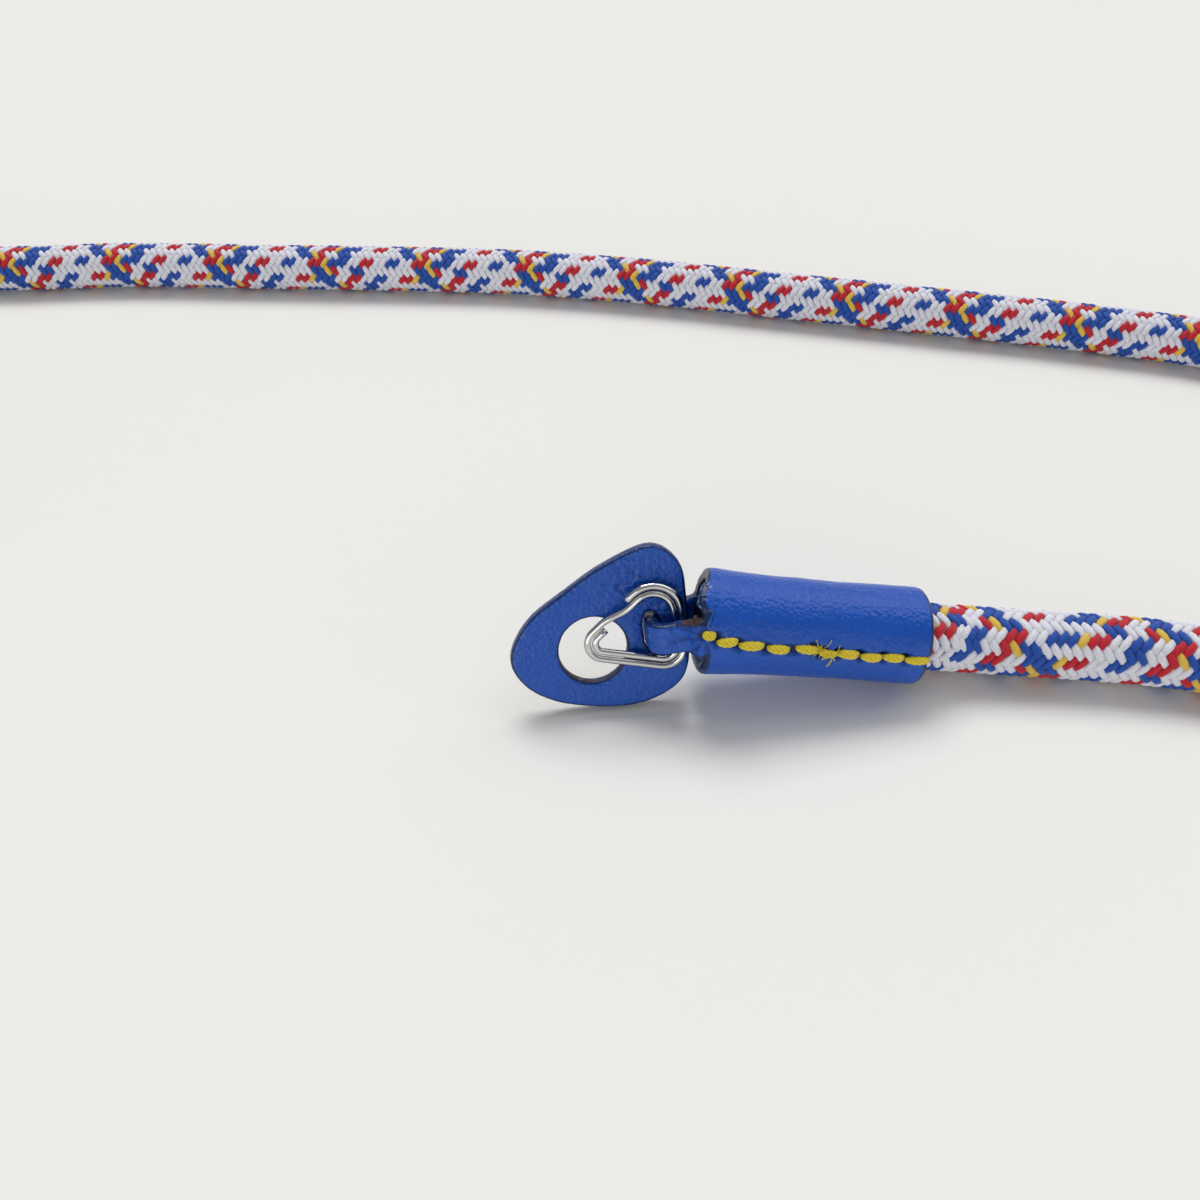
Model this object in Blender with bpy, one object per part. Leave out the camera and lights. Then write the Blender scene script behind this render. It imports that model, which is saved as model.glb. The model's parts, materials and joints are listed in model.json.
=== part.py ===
"""Camera neck strap, laid on a table: a braided rope with a leather and split-ring end at each side.

At each end a leather sleeve is rolled round the rope and runs on into a narrow tongue. The tongue
folds round the straight side of a split ring and round the bridge of a leather protector, and goes
back into the sleeve. Both ends are the same, and one is the other turned half a turn about Z.

An end is drawn in its own frame: the origin is on the ring's hinge line, +X runs along the sleeve
to the rope, -Y is the face that a viewer sees, and +Z is up along that face.
"""

import math

import bmesh
import bpy
from mathutils import Matrix, Vector

MM = 0.001

# Clearances
SEAT_GAP = 0.3 * MM  # between two pieces that rest on each other
RIM_ROUND = 0.35 * MM  # rounding of the cut edges of the leather

# Rope
ROPE_DIAMETER = 10.0 * MM
ROPE_IN_SLEEVE = 20.0 * MM  # how far the rope goes into each sleeve
ROPE_STRAIGHT = 10.0 * MM  # how far it keeps the sleeve's direction outside
ROPE_POINT_SPACING = 14.6 * MM

# Leather sleeve
SLEEVE_LENGTH = 31.5 * MM
SLEEVE_START = 3.5 * MM  # from the ring's hinge line to the sleeve's near edge
SLEEVE_WALL = 1.6 * MM
SLEEVE_FLARE = 0.6 * MM  # how much wider the near end is
SLEEVE_SIDES = 48
SEAM_VALLEY = 0.35 * MM  # how deep the stitches pull the leather in
SEAM_HALF_WIDTH = math.radians(11)
SEAM_START = math.radians(5)  # place of the stitches round the sleeve, from its front
SEAM_END = math.radians(-11)

# Tongue of the sleeve
TONGUE_WIDTH = 4.4 * MM
TONGUE_THICKNESS = 1.9 * MM
TONGUE_FOLD_RADIUS = 0.6 * MM  # inside the fold's two corners
TONGUE_ROOT = 2.4 * MM  # how far it is part of the sleeve's wall
TONGUE_SINK = 0.35 * MM  # how far its flat face lies inside the round wall there

# Leather protector
PROTECTOR_LENGTH = 25.4 * MM
PROTECTOR_HEIGHT = 23.2 * MM
PROTECTOR_THICKNESS = 1.9 * MM
PROTECTOR_EDGE = 1.8 * MM  # how far it reaches past the ring's hinge line, to the rope
PROTECTOR_BELOW = 10.8 * MM # how far it reaches below the ring's hinge
SLOT_SPARE = 0.6 * MM  # how far the slot reaches past each edge of the tongue
BRIDGE_WIDTH = 4.1 * MM  # the leather between the slot and the protector's edge
LUG_HOLE_DIAMETER = 9.7 * MM
LUG_HOLE_TO_SLOT = 2.2 * MM
LUG_HOLE_DROP = 1.5 * MM  # the hole's centre lies this far below the slot's

# Split ring
RING_WIRE = 1.0 * MM
RING_TURN_GAP = 0.1 * MM  # between its two turns
RING_LENGTH = 12.5 * MM  # from the hinge line to the inner turn's tip
RING_TOP = 5.9 * MM  # the inner turn's reach above and below the hinge's middle
RING_BOTTOM = 3.9 * MM
RING_TIP_DROP = 0.8 * MM  # how far its tip lies below the hinge's middle
RING_TIP_RADIUS = 1.2 * MM
RING_TOP_RADIUS = 2.9 * MM
RING_BOTTOM_RADIUS = 1.8 * MM
RING_SIDES = 6

# How an end lies
HINGE_SPACING = 155.0 * MM  # between the hinge lines of the two rings
LEAN_BACK = math.radians(20)  # the protectors lean back from upright
END_TURN = math.radians(5)  # an end is turned this far out of the line between the two rings
TONGUE_DROOP = math.radians(14)  # the tongue hangs down from the sleeve's line

# What follows from the sizes above
BORE_RADIUS = ROPE_DIAMETER / 2 + SEAT_GAP
SLEEVE_RADIUS = BORE_RADIUS + SLEEVE_WALL
RING_PITCH = RING_WIRE + RING_TURN_GAP
RING_SWEEP = RING_PITCH / 2 + RING_WIRE / 2  # reach of the doubled wire round the hinge line
FOLD_HALF_GAP = (PROTECTOR_THICKNESS + 2 * RING_SWEEP + 3 * SEAT_GAP) / 2
SLOT_WIDTH = TONGUE_THICKNESS + 2 * SEAT_GAP + RIM_ROUND / 2
SLOT_HEIGHT = TONGUE_WIDTH + 2 * SLOT_SPARE
SLOT_RIGHT = PROTECTOR_EDGE - BRIDGE_WIDTH
SLOT_MIDDLE = SLOT_RIGHT - SLOT_WIDTH / 2
PROTECTOR_BACK = FOLD_HALF_GAP - SEAT_GAP
PROTECTOR_FRONT = PROTECTOR_BACK - PROTECTOR_THICKNESS
RING_HINGE_Y = PROTECTOR_FRONT - SEAT_GAP - RING_SWEEP
MOUTH = SLEEVE_START + SLEEVE_LENGTH
TONGUE_PIVOT = SLEEVE_START + SLEEVE_WALL

# The sleeve's profile: share of its length from the near end, share of the flare
SLEEVE_SECTIONS = [
    {"along": 0.00, "flare": 0.85},
    {"along": 0.03, "flare": 1.00},
    {"along": 0.14, "flare": 0.55},
    {"along": 0.32, "flare": 0.15},
    {"along": 0.60, "flare": 0.00},
    {"along": 0.90, "flare": 0.10},
    {"along": 1.00, "flare": 0.20},
]

# The protector's outline: share of its length from the bridge's edge, share of its height
PROTECTOR_OUTLINE = [
    {"along": 0.000, "up": 0.653},
    {"along": 0.022, "up": 0.870},
    {"along": 0.165, "up": 1.000},
    {"along": 0.425, "up": 0.925},
    {"along": 0.654, "up": 0.795},
    {"along": 0.880, "up": 0.640},
    {"along": 1.000, "up": 0.430},
    {"along": 0.945, "up": 0.240},
    {"along": 0.770, "up": 0.095},
    {"along": 0.490, "up": 0.010},
    {"along": 0.260, "up": 0.010},
    {"along": 0.075, "up": 0.110},
    {"along": 0.010, "up": 0.310},
]

# The rope's route on the table from the left sleeve to the right one, in metres
FLOOR_ROUTE = [
    (-0.144, -0.005),
    (-0.170, -0.007),
    (-0.196, -0.006),
    (-0.219, 0.004),
    (-0.236, 0.021),
    (-0.244, 0.045),
    (-0.241, 0.072),
    (-0.227, 0.097),
    (-0.203, 0.115),
    (-0.172, 0.125),
    (-0.136, 0.129),
    (-0.100, 0.131),
    (-0.069, 0.132),
    (-0.040, 0.134),
    (-0.010, 0.133),
    (0.020, 0.132),
    (0.049, 0.130),
    (0.078, 0.125),
    (0.107, 0.118),
    (0.136, 0.111),
    (0.164, 0.104),
    (0.190, 0.096),
    (0.212, 0.085),
    (0.230, 0.069),
    (0.240, 0.047),
    (0.239, 0.022),
    (0.226, 0.003),
    (0.203, -0.007),
    (0.176, -0.006),
    (0.149, 0.001),
]


def start_clean():
    for old in list(bpy.data.objects):
        bpy.data.objects.remove(old, do_unlink=True)


def material(name, colour, roughness, metallic=0.0):
    made = bpy.data.materials.new(name)
    made.use_nodes = True
    shader = made.node_tree.nodes["Principled BSDF"]
    shader.inputs["Base Color"].default_value = (*colour, 1.0)
    shader.inputs["Roughness"].default_value = roughness
    shader.inputs["Metallic"].default_value = metallic
    made.diffuse_color = (*colour, 1.0)
    return made


def smooth_line(points, steps, closed=False):
    """Points on a smooth curve through the given ones, with a number of steps between each two."""
    points = [Vector(p) for p in points]
    count = len(points)
    line = []
    for i in range(count if closed else count - 1):
        if closed:
            a, b, c, d = (points[(i + k) % count] for k in (-1, 0, 1, 2))
        else:
            b, c = points[i], points[i + 1]
            a = points[i - 1] if i else 2 * b - c
            d = points[i + 2] if i + 2 < count else 2 * c - b
        for step in range(steps):
            t = step / steps
            line.append(
                0.5 * (2 * b + (c - a) * t + (2 * a - 5 * b + 4 * c - d) * t**2
                       + (3 * b - a - 3 * c + d) * t**3)
            )
    if not closed:
        line.append(points[-1])
    return line


def evenly_spaced(line, spacing):
    """Points at equal distances, close to the given one, along a line of many short pieces."""
    reached = [0.0]
    for a, b in zip(line, line[1:]):
        reached.append(reached[-1] + (b - a).length)
    count = round(reached[-1] / spacing) + 1
    spaced, i = [], 0
    for k in range(count):
        wanted = reached[-1] * k / (count - 1)
        while i < len(line) - 2 and reached[i + 1] < wanted:
            i += 1
        share = (wanted - reached[i]) / (reached[i + 1] - reached[i])
        spaced.append(line[i].lerp(line[i + 1], share))
    return spaced


def bridged(mesh, rings, closed_round=True, closed_along=False):
    """Faces between rings of vertices that follow each other."""
    rows = list(zip(rings, rings[1:]))
    if closed_along:
        rows.append((rings[-1], rings[0]))
    for one, other in rows:
        count = len(one)
        for i in range(count if closed_round else count - 1):
            j = (i + 1) % count
            mesh.faces.new((one[i], one[j], other[j], other[i]))


def finished(name, mesh, look, parent=None, soft_angle=35):
    """An object from a bmesh, with its faces turned outwards and its round parts shaded smooth."""
    bmesh.ops.recalc_face_normals(mesh, faces=mesh.faces)
    data = bpy.data.meshes.new(name)
    mesh.to_mesh(data)
    mesh.free()
    data.shade_smooth()
    data.set_sharp_from_angle(angle=math.radians(soft_angle))
    data.materials.append(look)
    made = bpy.data.objects.new(name, data)
    bpy.context.collection.objects.link(made)
    made.parent = parent
    return made


def empty(name, location=(0, 0, 0), rotation=(0, 0, 0), parent=None):
    made = bpy.data.objects.new(name, None)
    made.location = location
    made.rotation_euler = rotation
    made.parent = parent
    bpy.context.collection.objects.link(made)
    return made


def droop_matrix():
    """Turns the tongue, ring and protector down about the place where the tongue leaves the sleeve."""
    pivot = Vector((TONGUE_PIVOT, 0, 0))
    turn = Matrix.Rotation(-TONGUE_DROOP, 4, "Y")
    return Matrix.Translation(pivot) @ turn @ Matrix.Translation(-pivot)


def protector_point(row):
    return Vector((
        PROTECTOR_EDGE - row["along"] * PROTECTOR_LENGTH,
        0,
        row["up"] * PROTECTOR_HEIGHT - PROTECTOR_BELOW,
    ))


def protector_outline():
    return smooth_line([protector_point(row) for row in PROTECTOR_OUTLINE], 6, closed=True)


def mouth_radius():
    return SLEEVE_RADIUS + SLEEVE_SECTIONS[-1]["flare"] * SLEEVE_FLARE


def resting_pitch():
    """The sleeve's slope when its mouth and the protector's lowest point both touch the table."""
    lean = Matrix.Rotation(-LEAN_BACK, 4, "X") @ droop_matrix()
    slopes = []
    for point in protector_outline():
        low = lean @ Vector((point.x, PROTECTOR_BACK, point.z))
        slopes.append(math.atan2(-low.z - mouth_radius(), MOUTH - low.x))
    return max(slopes)


PITCH = resting_pitch()
LIFT = mouth_radius() * math.cos(PITCH) + MOUTH * math.sin(PITCH)


def end_matrix(side):
    """From an end's own frame to the table: side is 1 for the right end and -1 for the left."""
    half_turn = Matrix.Rotation(0 if side > 0 else math.pi, 4, "Z")
    slope = Matrix.Rotation(PITCH, 4, "Y") @ Matrix.Rotation(-LEAN_BACK, 4, "X")
    turned = Matrix.Rotation(END_TURN, 4, "Z") @ slope
    return half_turn @ Matrix.Translation((HINGE_SPACING / 2, 0, LIFT)) @ turned


def rope_line():
    """The rope's centre line: out of one sleeve, round the table and into the other."""
    inner, beyond = MOUTH - ROPE_IN_SLEEVE, MOUTH + ROPE_STRAIGHT
    left = [end_matrix(-1) @ Vector((x, 0, 0)) for x in (inner, MOUTH, beyond)]
    right = [end_matrix(1) @ Vector((x, 0, 0)) for x in (beyond, MOUTH, inner)]
    table = [Vector((x, y, ROPE_DIAMETER / 2)) for x, y in FLOOR_ROUTE]
    line = evenly_spaced(smooth_line(left + table + right, 12), ROPE_POINT_SPACING)
    for point in line:
        point.z = max(point.z, ROPE_DIAMETER / 2)
    return line


def make_rope(look):
    curve = bpy.data.curves.new("rope", "CURVE")
    curve.dimensions = "3D"
    curve.bevel_depth = ROPE_DIAMETER / 2
    curve.bevel_resolution = 4
    curve.use_fill_caps = True
    line = rope_line()
    spline = curve.splines.new("POLY")
    spline.points.add(len(line) - 1)
    for slot, point in zip(spline.points, line):
        slot.co = (*point, 1.0)
    curve.materials.append(look)
    made = bpy.data.objects.new("rope", curve)
    bpy.context.collection.objects.link(made)
    return made


def seam_dent(angle, along):
    """How far the stitches pull the sleeve's wall in at an angle from its front."""
    middle = SEAM_START + (SEAM_END - SEAM_START) * along
    return SEAM_VALLEY * math.exp(-(((angle - middle) / SEAM_HALF_WIDTH) ** 2))


def sleeve_profile():
    """The wall's section, out along the outside and back along the bore: (along, radius, dented)."""
    outside, bore = [], []
    last = len(SLEEVE_SECTIONS) - 1
    for i, row in enumerate(SLEEVE_SECTIONS):
        flare = row["flare"] * SLEEVE_FLARE
        inset = RIM_ROUND if i in (0, last) else 0.0
        outside.append((row["along"], SLEEVE_RADIUS + flare - inset, 1.0))
        bore.append((row["along"], BORE_RADIUS + flare, 0.0))
        if i == 0:
            step = RIM_ROUND / SLEEVE_LENGTH
            outside.append((step, SLEEVE_RADIUS + flare, 1.0))
    outside.insert(-1, (1 - RIM_ROUND / SLEEVE_LENGTH, mouth_radius(), 1.0))
    return outside + bore[::-1]


def make_sleeve(name, look, parent):
    mesh = bmesh.new()
    rings = []
    for along, radius, dented in sleeve_profile():
        ring = []
        for k in range(SLEEVE_SIDES):
            angle = 2 * math.pi * k / SLEEVE_SIDES
            turned = angle if angle <= math.pi else angle - 2 * math.pi
            reach = radius - dented * seam_dent(turned, along)
            x = SLEEVE_START + along * SLEEVE_LENGTH
            ring.append(mesh.verts.new((x, -reach * math.cos(angle), reach * math.sin(angle))))
        rings.append(ring)
    bridged(mesh, rings, closed_along=True)
    return finished(name, mesh, look, parent)


def tongue_side_line():
    """The front half of the tongue's middle line, from the sleeve's wall to the fold: (x, depth)."""
    fold = FOLD_HALF_GAP + TONGUE_THICKNESS / 2
    edge = math.sqrt((SLEEVE_RADIUS + SLEEVE_FLARE) ** 2 - (TONGUE_WIDTH / 2) ** 2)
    wall = edge - TONGUE_THICKNESS / 2 - TONGUE_SINK
    start, end = -RING_SWEEP, SLEEVE_START + TONGUE_ROOT / 3
    line = [(SLEEVE_START + TONGUE_ROOT, wall)]
    for k in range(8):
        share = 1 - k / 7
        ease = share * share * (3 - 2 * share)
        line.append((start + (end - start) * share, fold + (wall - fold) * ease))
    radius = TONGUE_FOLD_RADIUS + TONGUE_THICKNESS / 2
    for k in range(7):
        angle = math.pi / 2 * (1 + k / 6)
        line.append((
            SLOT_MIDDLE + radius + radius * math.cos(angle),
            fold - radius + radius * math.sin(angle),
        ))
    return line


def make_tongue(name, look, parent):
    """The tongue as a flat band that is folded once, with its cut edges rounded."""
    front = tongue_side_line()
    line = [Vector((x, -depth, 0)) for x, depth in front]
    line += [Vector((x, depth, 0)) for x, depth in reversed(front)]
    half, thick, cut = TONGUE_WIDTH / 2, TONGUE_THICKNESS / 2, RIM_ROUND
    section = [
        (-half + cut, -thick), (half - cut, -thick), (half, -thick + cut), (half, thick - cut),
        (half - cut, thick), (-half + cut, thick), (-half, thick - cut), (-half, -thick + cut),
    ]
    mesh = bmesh.new()
    rings = []
    for i, point in enumerate(line):
        before, after = line[max(i - 1, 0)], line[min(i + 1, len(line) - 1)]
        along = (after - before).normalized()
        outward = Vector((along.y, -along.x, 0))
        rings.append([mesh.verts.new(point + outward * out + Vector((0, 0, up)))
                      for up, out in section])
    bridged(mesh, rings)
    mesh.faces.new(rings[0])
    mesh.faces.new(rings[-1])
    bmesh.ops.transform(mesh, matrix=droop_matrix(), verts=mesh.verts)
    made = finished(name, mesh, look, parent)
    made.hide_render = True
    made.display_type = "WIRE"
    return made


def join_tongue(sleeve, tongue):
    """The sleeve and its tongue are one piece of leather."""
    union = sleeve.modifiers.new("tongue", "BOOLEAN")
    union.operation = "UNION"
    union.solver = "EXACT"
    union.object = tongue


def slot_loop():
    """A slot with round ends, upright in the protector's face."""
    radius = SLOT_WIDTH / 2
    reach = SLOT_HEIGHT / 2 - radius
    loop = []
    for k in range(18):
        end = reach if k < 9 else -reach
        angle = math.pi * (k if k < 9 else k - 1) / 8
        loop.append(Vector((SLOT_MIDDLE + radius * math.cos(angle), 0, end + radius * math.sin(angle))))
    return loop


def lug_hole_loop():
    radius = LUG_HOLE_DIAMETER / 2
    middle = SLOT_MIDDLE - SLOT_WIDTH / 2 - LUG_HOLE_TO_SLOT - radius
    turn = [2 * math.pi * k / 32 for k in range(32)]
    return [Vector((middle + radius * math.cos(a), 0, radius * math.sin(a) - LUG_HOLE_DROP))
            for a in turn]


def moved_outward(loop, distance, outline):
    """A loop moved across itself, into the leather for a negative distance."""
    area = sum(a.x * b.z - b.x * a.z for a, b in zip(loop, loop[1:] + loop[:1]))
    side = math.copysign(1, area) * (1 if outline else -1)
    moved = []
    for i, point in enumerate(loop):
        along = (loop[(i + 1) % len(loop)] - loop[i - 1]).normalized()
        moved.append(point + side * distance * Vector((along.z, 0, -along.x)))
    return moved


def make_protector(name, look, parent):
    """A flat plate with rounded rims, a hole for a lug and a slot for the tongue."""
    mesh = bmesh.new()
    rims = [
        (-RIM_ROUND, PROTECTOR_FRONT),
        (-0.3 * RIM_ROUND, PROTECTOR_FRONT + 0.3 * RIM_ROUND),
        (0.0, PROTECTOR_FRONT + RIM_ROUND),
        (0.0, PROTECTOR_BACK - RIM_ROUND),
        (-0.3 * RIM_ROUND, PROTECTOR_BACK - 0.3 * RIM_ROUND),
        (-RIM_ROUND, PROTECTOR_BACK),
    ]
    faces = ([], [])
    for loop, outline in ((protector_outline(), True), (lug_hole_loop(), False), (slot_loop(), False)):
        rings = []
        for distance, y in rims:
            rings.append([mesh.verts.new((p.x, y, p.z)) for p in moved_outward(loop, distance, outline)])
        bridged(mesh, rings)
        for edges, ring in zip(faces, (rings[0], rings[-1])):
            edges += [mesh.edges.get((ring[i - 1], ring[i])) for i in range(len(ring))]
    for edges in faces:
        bmesh.ops.triangle_fill(mesh, use_beauty=True, use_dissolve=False, edges=edges)
    return finished(name, mesh, look, parent)


def fillet(before, corner, after, radius, steps):
    """Points and outward directions of the arc that rounds a corner of the ring."""
    into, out = (before - corner).normalized(), (after - corner).normalized()
    half = into.angle(out) / 2
    middle = corner + (into + out).normalized() * radius / math.sin(half)
    start = (corner + into * radius / math.tan(half) - middle).normalized()
    end = (corner + out * radius / math.tan(half) - middle).normalized()
    made = []
    for k in range(steps + 1):
        outward = start.slerp(end, k / steps)
        made.append((middle + outward * radius, outward))
    return made


def leg_corner(tip, reach, radius, hinge):
    """Where a leg from the tip, rounded off at the given reach, would meet the hinge line."""
    side = math.copysign(1, reach)
    to_middle = Vector((hinge - radius, reach - side * radius)) - tip
    slope = math.atan2(to_middle.y, to_middle.x) + side * math.asin(radius / to_middle.length)
    return Vector((hinge, tip.y + (hinge - tip.x) * math.tan(slope)))


def ring_line():
    """The wire's middle line: two turns side by side, the second one outside the first."""
    hinge = -RING_PITCH / 2
    tip = Vector((-RING_LENGTH - RING_TIP_RADIUS * 0.55, -RING_TIP_DROP))
    top = leg_corner(tip, RING_TOP, RING_TOP_RADIUS, hinge)
    bottom = leg_corner(tip, -RING_BOTTOM, RING_BOTTOM_RADIUS, hinge)
    tip_arc = fillet(top, tip, bottom, RING_TIP_RADIUS, 8)
    bottom_arc = fillet(tip, bottom, top, RING_BOTTOM_RADIUS, 8)
    top_arc = fillet(bottom, top, tip, RING_TOP_RADIUS, 8)
    arcs = tip_arc + bottom_arc + top_arc
    (leave, outward), (arrive, _) = top_arc[-1], tip_arc[0]
    starts, ends, shift, shifted = (leave.lerp(arrive, share) for share in (0.80, 0.15, 0.20, 0.76))
    line = [starts] + [point for point, _ in arcs] + [shift]
    line += [shifted + outward * RING_PITCH]
    line += [point + away * RING_PITCH for point, away in arcs]
    line += [ends + outward * RING_PITCH]
    return [Vector((p.x, 0, p.y)) for p in line]


def make_ring(name, look, parent):
    """The split ring, with its hinge line through the object's origin."""
    mesh = bmesh.new()
    line = ring_line()
    radius = RING_WIRE / 2
    rings = []
    for i, point in enumerate(line):
        before, after = line[max(i - 1, 0)], line[min(i + 1, len(line) - 1)]
        along = (after - before).normalized()
        across = Vector((along.z, 0, -along.x))
        ring = []
        for k in range(RING_SIDES):
            angle = 2 * math.pi * (k + 0.5) / RING_SIDES
            offset = across * math.cos(angle) + Vector((0, 1, 0)) * math.sin(angle)
            ring.append(mesh.verts.new(point + offset * radius))
        rings.append(ring)
    bridged(mesh, rings)
    mesh.faces.new(rings[0])
    mesh.faces.new(rings[-1])
    made = finished(name, mesh, look, parent, soft_angle=75)
    made.location = (0, RING_HINGE_Y, 0)
    clear = PROTECTOR_FRONT - RING_HINGE_Y - RING_WIRE / 2 - SEAT_GAP
    made.rotation_euler = (0, 0, -math.asin(clear / (RING_LENGTH + RING_PITCH)))
    return made


def make_end(side_name, side, looks):
    """One end of the strap: sleeve with tongue, split ring and protector."""
    place = end_matrix(side)
    end = empty(f"end_{side_name}")
    end.matrix_world = place
    hung = empty(f"hung_{side_name}", parent=end)
    hung.matrix_local = droop_matrix()
    sleeve = make_sleeve(f"sleeve_{side_name}", looks["leather"], end)
    tongue = make_tongue(f"tongue_form_{side_name}", looks["leather"], end)
    join_tongue(sleeve, tongue)
    make_protector(f"protector_{side_name}", looks["leather"], hung)
    make_ring(f"ring_{side_name}", looks["steel"], hung)


def build():
    start_clean()
    looks = {
        "leather": material("blue leather", (0.012, 0.065, 0.39), 0.45),
        "steel": material("bright steel", (0.62, 0.62, 0.63), 0.2, 1.0),
        "rope": material("braided rope", (0.82, 0.82, 0.88), 0.7),
    }
    make_rope(looks["rope"])
    for side_name, side in (("right", 1), ("left", -1)):
        make_end(side_name, side, looks)


build()
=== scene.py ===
# %% [markdown]
# # A braided camera neck strap, laid on a table
#
# This lesson dresses a finished model in its real surfaces. The model's solids are already there:
# a round rope that goes once round the table, and at each end a leather sleeve with a tongue, a
# split ring and a flat leather protector. Each cell below takes one of them, says what it is on
# the real strap, and makes it in Blender.
#
# The first cell loads the solids as a fixed frame. Nothing in it is ever moved: every new piece is
# drawn where its solid lies, in metres.

# %% Load the frame
import json
import math
import random

import bmesh
import bpy
import numpy as np
from mathutils import Matrix, Vector, noise
from mathutils.bvhtree import BVHTree


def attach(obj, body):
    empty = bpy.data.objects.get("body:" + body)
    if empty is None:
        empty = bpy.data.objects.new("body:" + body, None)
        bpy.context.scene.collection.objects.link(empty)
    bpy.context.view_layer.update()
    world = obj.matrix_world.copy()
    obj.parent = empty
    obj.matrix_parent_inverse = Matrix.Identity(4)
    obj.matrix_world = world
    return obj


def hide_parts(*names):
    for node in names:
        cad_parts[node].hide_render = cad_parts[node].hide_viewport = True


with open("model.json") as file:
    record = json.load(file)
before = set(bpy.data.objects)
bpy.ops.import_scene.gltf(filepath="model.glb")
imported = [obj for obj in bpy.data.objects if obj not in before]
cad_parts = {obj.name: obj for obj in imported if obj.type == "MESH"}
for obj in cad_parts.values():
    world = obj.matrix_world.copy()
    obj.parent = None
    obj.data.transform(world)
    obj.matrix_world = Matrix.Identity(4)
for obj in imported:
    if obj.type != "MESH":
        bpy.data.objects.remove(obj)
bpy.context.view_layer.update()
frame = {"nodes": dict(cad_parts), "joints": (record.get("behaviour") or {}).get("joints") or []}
MM = 0.001


def linked(name, data):
    """A new object of the given data, in the scene."""
    made = bpy.data.objects.new(name, data)
    bpy.context.scene.collection.objects.link(made)
    return made


print("solids:", ", ".join(sorted(frame["nodes"])))

# %% [markdown]
# ## The camera
#
# The photograph was taken from a little above the table, with a lens of normal length. Its angle was
# found from the ellipse of the sleeve's mouth and from how much thinner the rope looks at the back.
# A camera is placed from three facts: where it stands, how far it looks down, and its lens.

# %% Place the camera
CAMERA_PLACE = Vector((0.0667, -0.1270, 0.1207))
CAMERA_DOWN = math.radians(39.5)
CAMERA_LENS = 36.0  # millimetres
SENSOR_WIDTH = 36.0  # millimetres
NEAREST_SEEN = 5.0 * MM

camera_data = bpy.data.cameras.new("camera")
camera_data.lens = CAMERA_LENS
camera_data.sensor_width = SENSOR_WIDTH
camera_data.clip_start = NEAREST_SEEN
camera = linked("camera", camera_data)
camera.location = CAMERA_PLACE
camera.rotation_euler = (math.pi / 2 - CAMERA_DOWN, 0, 0)
bpy.context.scene.camera = camera
bpy.context.scene.view_settings.view_transform = "Standard"
print("camera at", [round(v, 4) for v in CAMERA_PLACE], "looking down", round(math.degrees(CAMERA_DOWN), 1))

# %% [markdown]
# ## Where an end of the strap lies
#
# Both leather ends are the same, and one is the other turned half a turn about the upright axis. So
# every piece of an end is drawn once, in the end's own frame: the origin is on the hinge line of the
# ring, +X runs along the sleeve to the rope, -Y is the face that a viewer sees, and +Z is up along
# that face. Two matrices then carry it to its place.

# %% The frame of an end
HINGE_SPACING = 155.0 * MM
LEAN_BACK = math.radians(20)
SLEEVE_SLOPE = math.radians(9.34012)
END_TURN = math.radians(5)  # out of the line between the two rings
SLEEVE_START = 3.5 * MM
SLEEVE_LENGTH = 31.5 * MM
MOUTH = SLEEVE_START + SLEEVE_LENGTH
MOUTH_RADIUS = 7.02 * MM
ROPE_DIAMETER = 10.0 * MM
TONGUE_DROOP = math.radians(14)
TONGUE_PIVOT = Vector((5.1 * MM, 0, 0))

LIFT = MOUTH_RADIUS * math.cos(SLEEVE_SLOPE) + MOUTH * math.sin(SLEEVE_SLOPE)
SIDES = {"right": 1, "left": -1}


def end_place(side):
    """From an end's own frame to the table."""
    half_turn = Matrix.Rotation(0 if side > 0 else math.pi, 4, "Z")
    slope = Matrix.Rotation(SLEEVE_SLOPE, 4, "Y") @ Matrix.Rotation(-LEAN_BACK, 4, "X")
    turned = Matrix.Rotation(END_TURN, 4, "Z") @ slope
    return half_turn @ Matrix.Translation((HINGE_SPACING / 2, 0, LIFT)) @ turned


def hung_place(side):
    """From the frame of what hangs on the tongue, the ring and the protector, to the table."""
    turn = Matrix.Rotation(-TONGUE_DROOP, 4, "Y")
    droop = Matrix.Translation(TONGUE_PIVOT) @ turn @ Matrix.Translation(-TONGUE_PIVOT)
    return end_place(side) @ droop


for joint in frame["joints"]:
    side = SIDES["right" if "right" in joint["name"] else "left"]
    hinge = hung_place(side).inverted() @ Vector(joint["pos_m"])
    print(joint["name"], "lies at", [round(v * 1000, 3) for v in hinge], "mm in its own frame")

# %% [markdown]
# ## The rope's route
#
# A rope of this make is limp enough to lie in wide bends. It comes out of one sleeve, goes round the
# table behind both ends and into the other sleeve. The route is a short list of points on the table,
# with the points inside and just outside each sleeve taken from that sleeve's axis.
# A smooth curve goes through them all.

# %% The route
ROPE_IN_SLEEVE = 20.0 * MM
ROPE_STRAIGHT = 10.0 * MM
FLOOR_ROUTE = [
    (-0.144, -0.005),
    (-0.170, -0.007),
    (-0.196, -0.006),
    (-0.219, 0.004),
    (-0.236, 0.021),
    (-0.244, 0.045),
    (-0.241, 0.072),
    (-0.227, 0.097),
    (-0.203, 0.115),
    (-0.172, 0.125),
    (-0.136, 0.129),
    (-0.100, 0.131),
    (-0.069, 0.132),
    (-0.040, 0.134),
    (-0.010, 0.133),
    (0.020, 0.132),
    (0.049, 0.130),
    (0.078, 0.125),
    (0.107, 0.118),
    (0.136, 0.111),
    (0.164, 0.104),
    (0.190, 0.096),
    (0.212, 0.085),
    (0.230, 0.069),
    (0.240, 0.047),
    (0.239, 0.022),
    (0.226, 0.003),
    (0.203, -0.007),
    (0.176, -0.006),
    (0.149, 0.001),
]
ROUTE_STEPS = 12


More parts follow.
